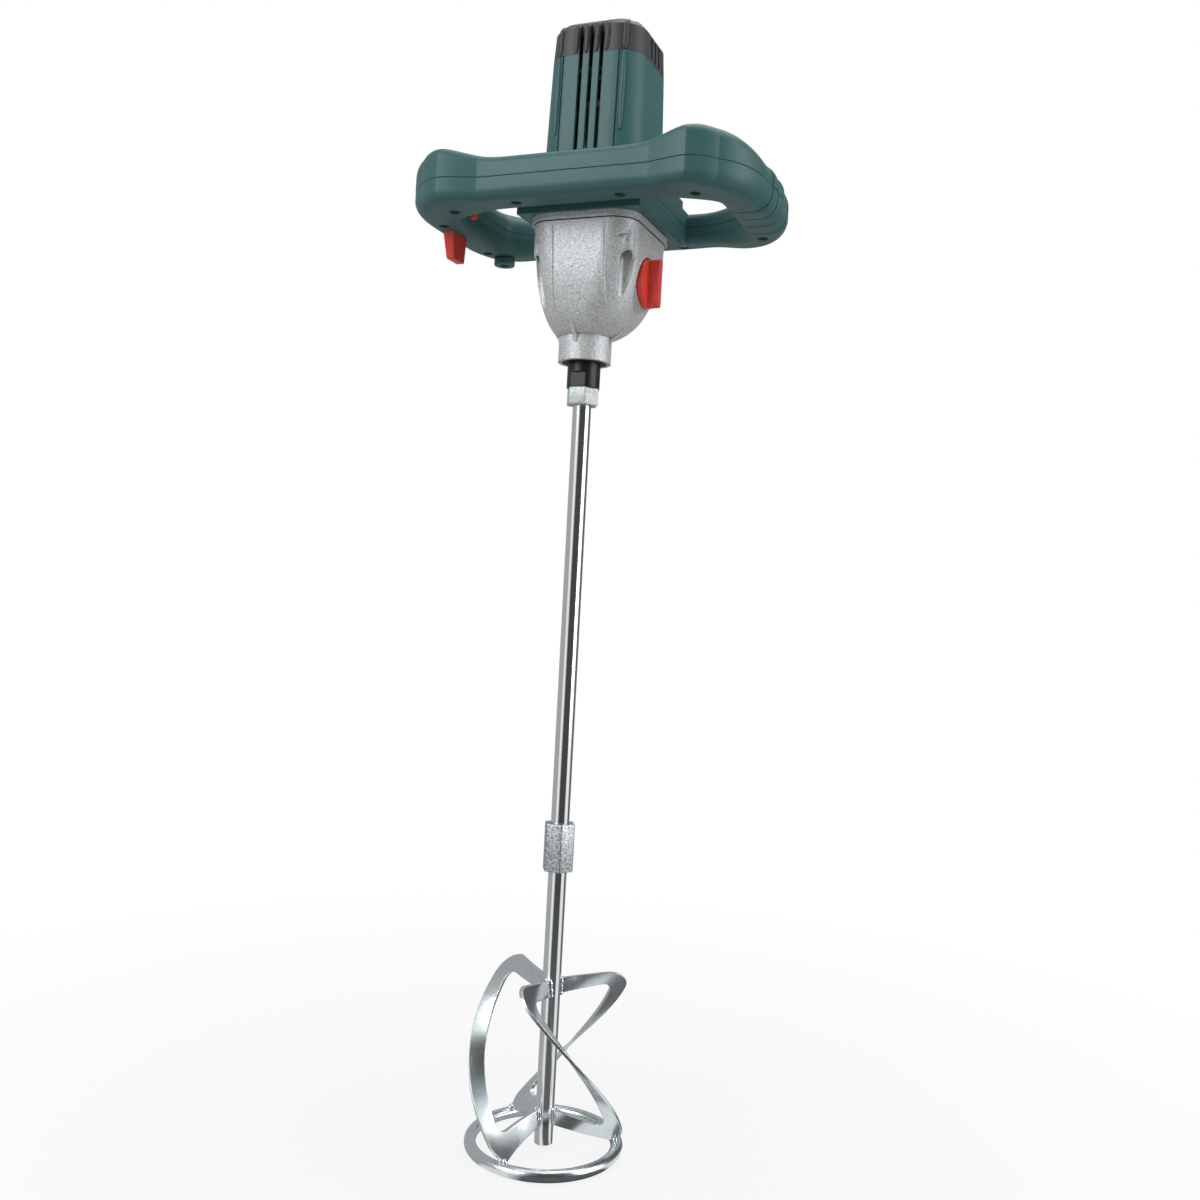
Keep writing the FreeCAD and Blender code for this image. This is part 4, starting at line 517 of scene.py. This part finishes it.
bell_span = [bell_low.z + lift for lift in BELL_RIB_HEIGHTS]
cap_span = [cap_low.z + CAP_RIB_GAP, cap_high.z - CAP_RIB_GAP]
barrel_span = [cap_low.z - depth for depth in BARREL_RIB_DEPTHS]
for way in (1, -1):
    row_of_ribs("casting_rib", "gearbox_housing", BELL_RIB_PLACES, bell_span, way, BELL_RIB_SIZE)
    row_of_ribs("cap_rib", "top_cap", CAP_RIB_PLACES, cap_span, way, CAP_RIB_SIZE)
    row_of_ribs("barrel_rib", "motor_housing", BARREL_RIB_PLACES, barrel_span, way, BARREL_RIB_SIZE)
for number, angle in enumerate(FIN_ANGLES, 1):
    neck_fin("neck_fin_%d" % number, angle)
gasket()


# Weld beads
def blade_angle(blade, z):
    """Direction of a blade from the spindle at a height, in radians."""
    share = (BLADE_TOP - z) / (BLADE_TOP - BLADE_LOW)
    return math.radians(BLADE_ANGLES[blade] + BLADE_SWEEP * share)


def bead(name, points, radius):
    """A weld bead: overlapping drops along a line of points."""
    mesh = bmesh.new()
    for index, point in enumerate(points):
        size = radius * (1 + DROP_VARIATION * math.sin(DROP_TURN * index + len(name)))
        drop = Matrix.Translation(point) @ Matrix.Diagonal((size, size, size, 1))
        bmesh.ops.create_icosphere(mesh, subdivisions=DROP_SUBDIVISIONS, radius=1, matrix=drop)
    return add_piece(name, mesh, "zinc_steel", "spindle")


def weld_line(blade, z_low, z_high, radius, shift, count):
    """Points up a blade's root, on one face of the plate."""
    points = []
    for step in range(count):
        z = z_low + (z_high - z_low) * step / (count - 1)
        turn = blade_angle(blade, z)
        across = Vector((-math.sin(turn), math.cos(turn), 0)) * shift
        root = Vector((SPINDLE_X + radius * math.cos(turn), radius * math.sin(turn), z))
        points.append(root + across)
    return points


for blade in range(len(BLADE_ANGLES)):
    for side, shift in (("rear", -WELD_SHIFT), ("front", WELD_SHIFT)):
        for weld, z_low, z_high, distance, count, radius in WELDS:
            line = weld_line(blade, z_low, z_high, distance, shift, count)
            bead("%s_%s_%d" % (weld, side, blade + 1), line, radius)


# Camera
def place_camera():
    """A level camera, rolled a little."""
    look = Vector(CAMERA_LOOK)
    right = look.cross(UP)
    roll = math.radians(CAMERA_ROLL)
    tilted_right = right * math.cos(roll) + UP * math.sin(roll)
    tilted_up = UP * math.cos(roll) - right * math.sin(roll)
    data = bpy.data.cameras.new("camera")
    data.lens = CAMERA_LENS
    data.sensor_width = CAMERA_SENSOR
    data.clip_end = CAMERA_REACH
    camera = bpy.data.objects.new("camera", data)
    bpy.context.scene.collection.objects.link(camera)
    turn = Matrix((tilted_right, tilted_up, -look)).transposed().to_4x4()
    camera.matrix_world = Matrix.Translation(CAMERA_PLACE) @ turn
    bpy.context.scene.camera = camera


# Stage and light
def seen_rays(tree, path):
    """1 on rays from the camera, a mirror or glass, 0 on the others."""
    total = path.outputs["Is Camera Ray"]
    for kind in ("Is Glossy Ray", "Is Transmission Ray"):
        total = calculated(tree, "MAXIMUM", total, path.outputs[kind])
    return total


def studio_bands(tree, direction):
    """Brightness of the studio by compass direction."""
    axes = tree.nodes.new("ShaderNodeSeparateXYZ")
    tree.links.new(direction, axes.inputs["Vector"])
    compass = calculated(tree, "ARCTAN2", axes.outputs["Y"], axes.outputs["X"])
    bands = tree.nodes.new("ShaderNodeValToRGB")
    stops = bands.color_ramp.elements
    while len(stops) < len(STUDIO_BANDS):
        stops.new(STOP_START)
    for stop, (degrees, level) in zip(stops, STUDIO_BANDS):
        stop.position = (degrees + 180) / 360
        stop.color = (level, level, level, 1)
    tree.links.new(mapped(tree, compass, (-math.pi, math.pi)), bands.inputs["Fac"])
    return bands.outputs["Color"]


def build_stage():
    """A pale floor that fades to white away from the tool and keeps its shadow."""
    bpy.ops.mesh.primitive_plane_add(size=FLOOR_SIZE, location=(0, 0, -FLOOR_DROP))
    floor = bpy.context.object
    floor.name = "floor"
    material, tree, shader = new_material("floor")
    pale = tint(tree, noise(tree, FLOOR_GRAIN, FLOOR_DETAIL), *FLOOR_TONES)
    tree.links.new(pale, shader.inputs["Base Color"])
    shader.inputs["Roughness"].default_value = FLOOR_ROUGHNESS
    shader.inputs["Specular IOR Level"].default_value = FLOOR_SPECULAR
    place = tree.nodes.new("ShaderNodeTexCoord")
    away = tree.nodes.new("ShaderNodeVectorMath")
    away.operation = "LENGTH"
    tree.links.new(place.outputs["Object"], away.inputs[0])
    fade = mapped(tree, away.outputs["Value"], FLOOR_FADE, FLOOR_WHITE_SHARES)
    path = tree.nodes.new("ShaderNodeLightPath")
    glow = tree.nodes.new("ShaderNodeEmission")
    mirrored = tree.nodes.new("ShaderNodeMix")
    mirrored.data_type = "RGBA"
    mirrored.inputs["A"].default_value = WHITE
    tree.links.new(path.outputs["Is Glossy Ray"], mirrored.inputs["Factor"])
    tree.links.new(studio_bands(tree, place.outputs["Object"]), mirrored.inputs["B"])
    tree.links.new(mirrored.outputs["Result"], glow.inputs["Color"])
    mix = tree.nodes.new("ShaderNodeMixShader")
    tree.links.new(calculated(tree, "MULTIPLY", fade, seen_rays(tree, path)), mix.inputs["Fac"])
    tree.links.new(shader.outputs["BSDF"], mix.inputs[1])
    tree.links.new(glow.outputs["Emission"], mix.inputs[2])
    tree.links.new(mix.outputs["Shader"], tree.nodes["Material Output"].inputs["Surface"])
    floor.data.materials.append(material)


def build_world():
    """An even pale sky for light, a white backdrop for the camera and a banded studio for mirrors."""
    world = bpy.data.worlds.new("studio")
    bpy.context.scene.world = world
    world.use_nodes = True
    tree = world.node_tree
    sky = tree.nodes["Background"]
    sky.inputs["Color"].default_value = WHITE
    sky.inputs["Strength"].default_value = SKY_STRENGTH
    studio = tree.nodes.new("ShaderNodeBackground")
    place = tree.nodes.new("ShaderNodeTexCoord")
    tree.links.new(studio_bands(tree, place.outputs["Generated"]), studio.inputs["Color"])
    backdrop = tree.nodes.new("ShaderNodeBackground")
    backdrop.inputs["Color"].default_value = WHITE
    path = tree.nodes.new("ShaderNodeLightPath")
    backgrounds = (
        ("Is Glossy Ray", studio),
        ("Is Camera Ray", backdrop),
        ("Is Transmission Ray", backdrop),
    )
    shader = sky
    for kind, background in backgrounds:
        mix = tree.nodes.new("ShaderNodeMixShader")
        tree.links.new(path.outputs[kind], mix.inputs["Fac"])
        tree.links.new(shader.outputs[0], mix.inputs[1])
        tree.links.new(background.outputs["Background"], mix.inputs[2])
        shader = mix
    tree.links.new(shader.outputs["Shader"], tree.nodes["World Output"].inputs["Surface"])


def area_light(name, place, target, size, power):
    """A rectangular lamp that faces its target."""
    data = bpy.data.lights.new(name, "AREA")
    data.shape = "RECTANGLE"
    data.size, data.size_y = size
    data.energy = power
    light = bpy.data.objects.new(name, data)
    bpy.context.scene.collection.objects.link(light)
    light.location = place
    direction = Vector(target) - Vector(place)
    light.rotation_euler = direction.to_track_quat("-Z", "Y").to_euler()


place_camera()
build_stage()
build_world()
for lamp in LAMPS:
    area_light(*lamp)
bpy.context.scene.view_settings.view_transform = "Standard"
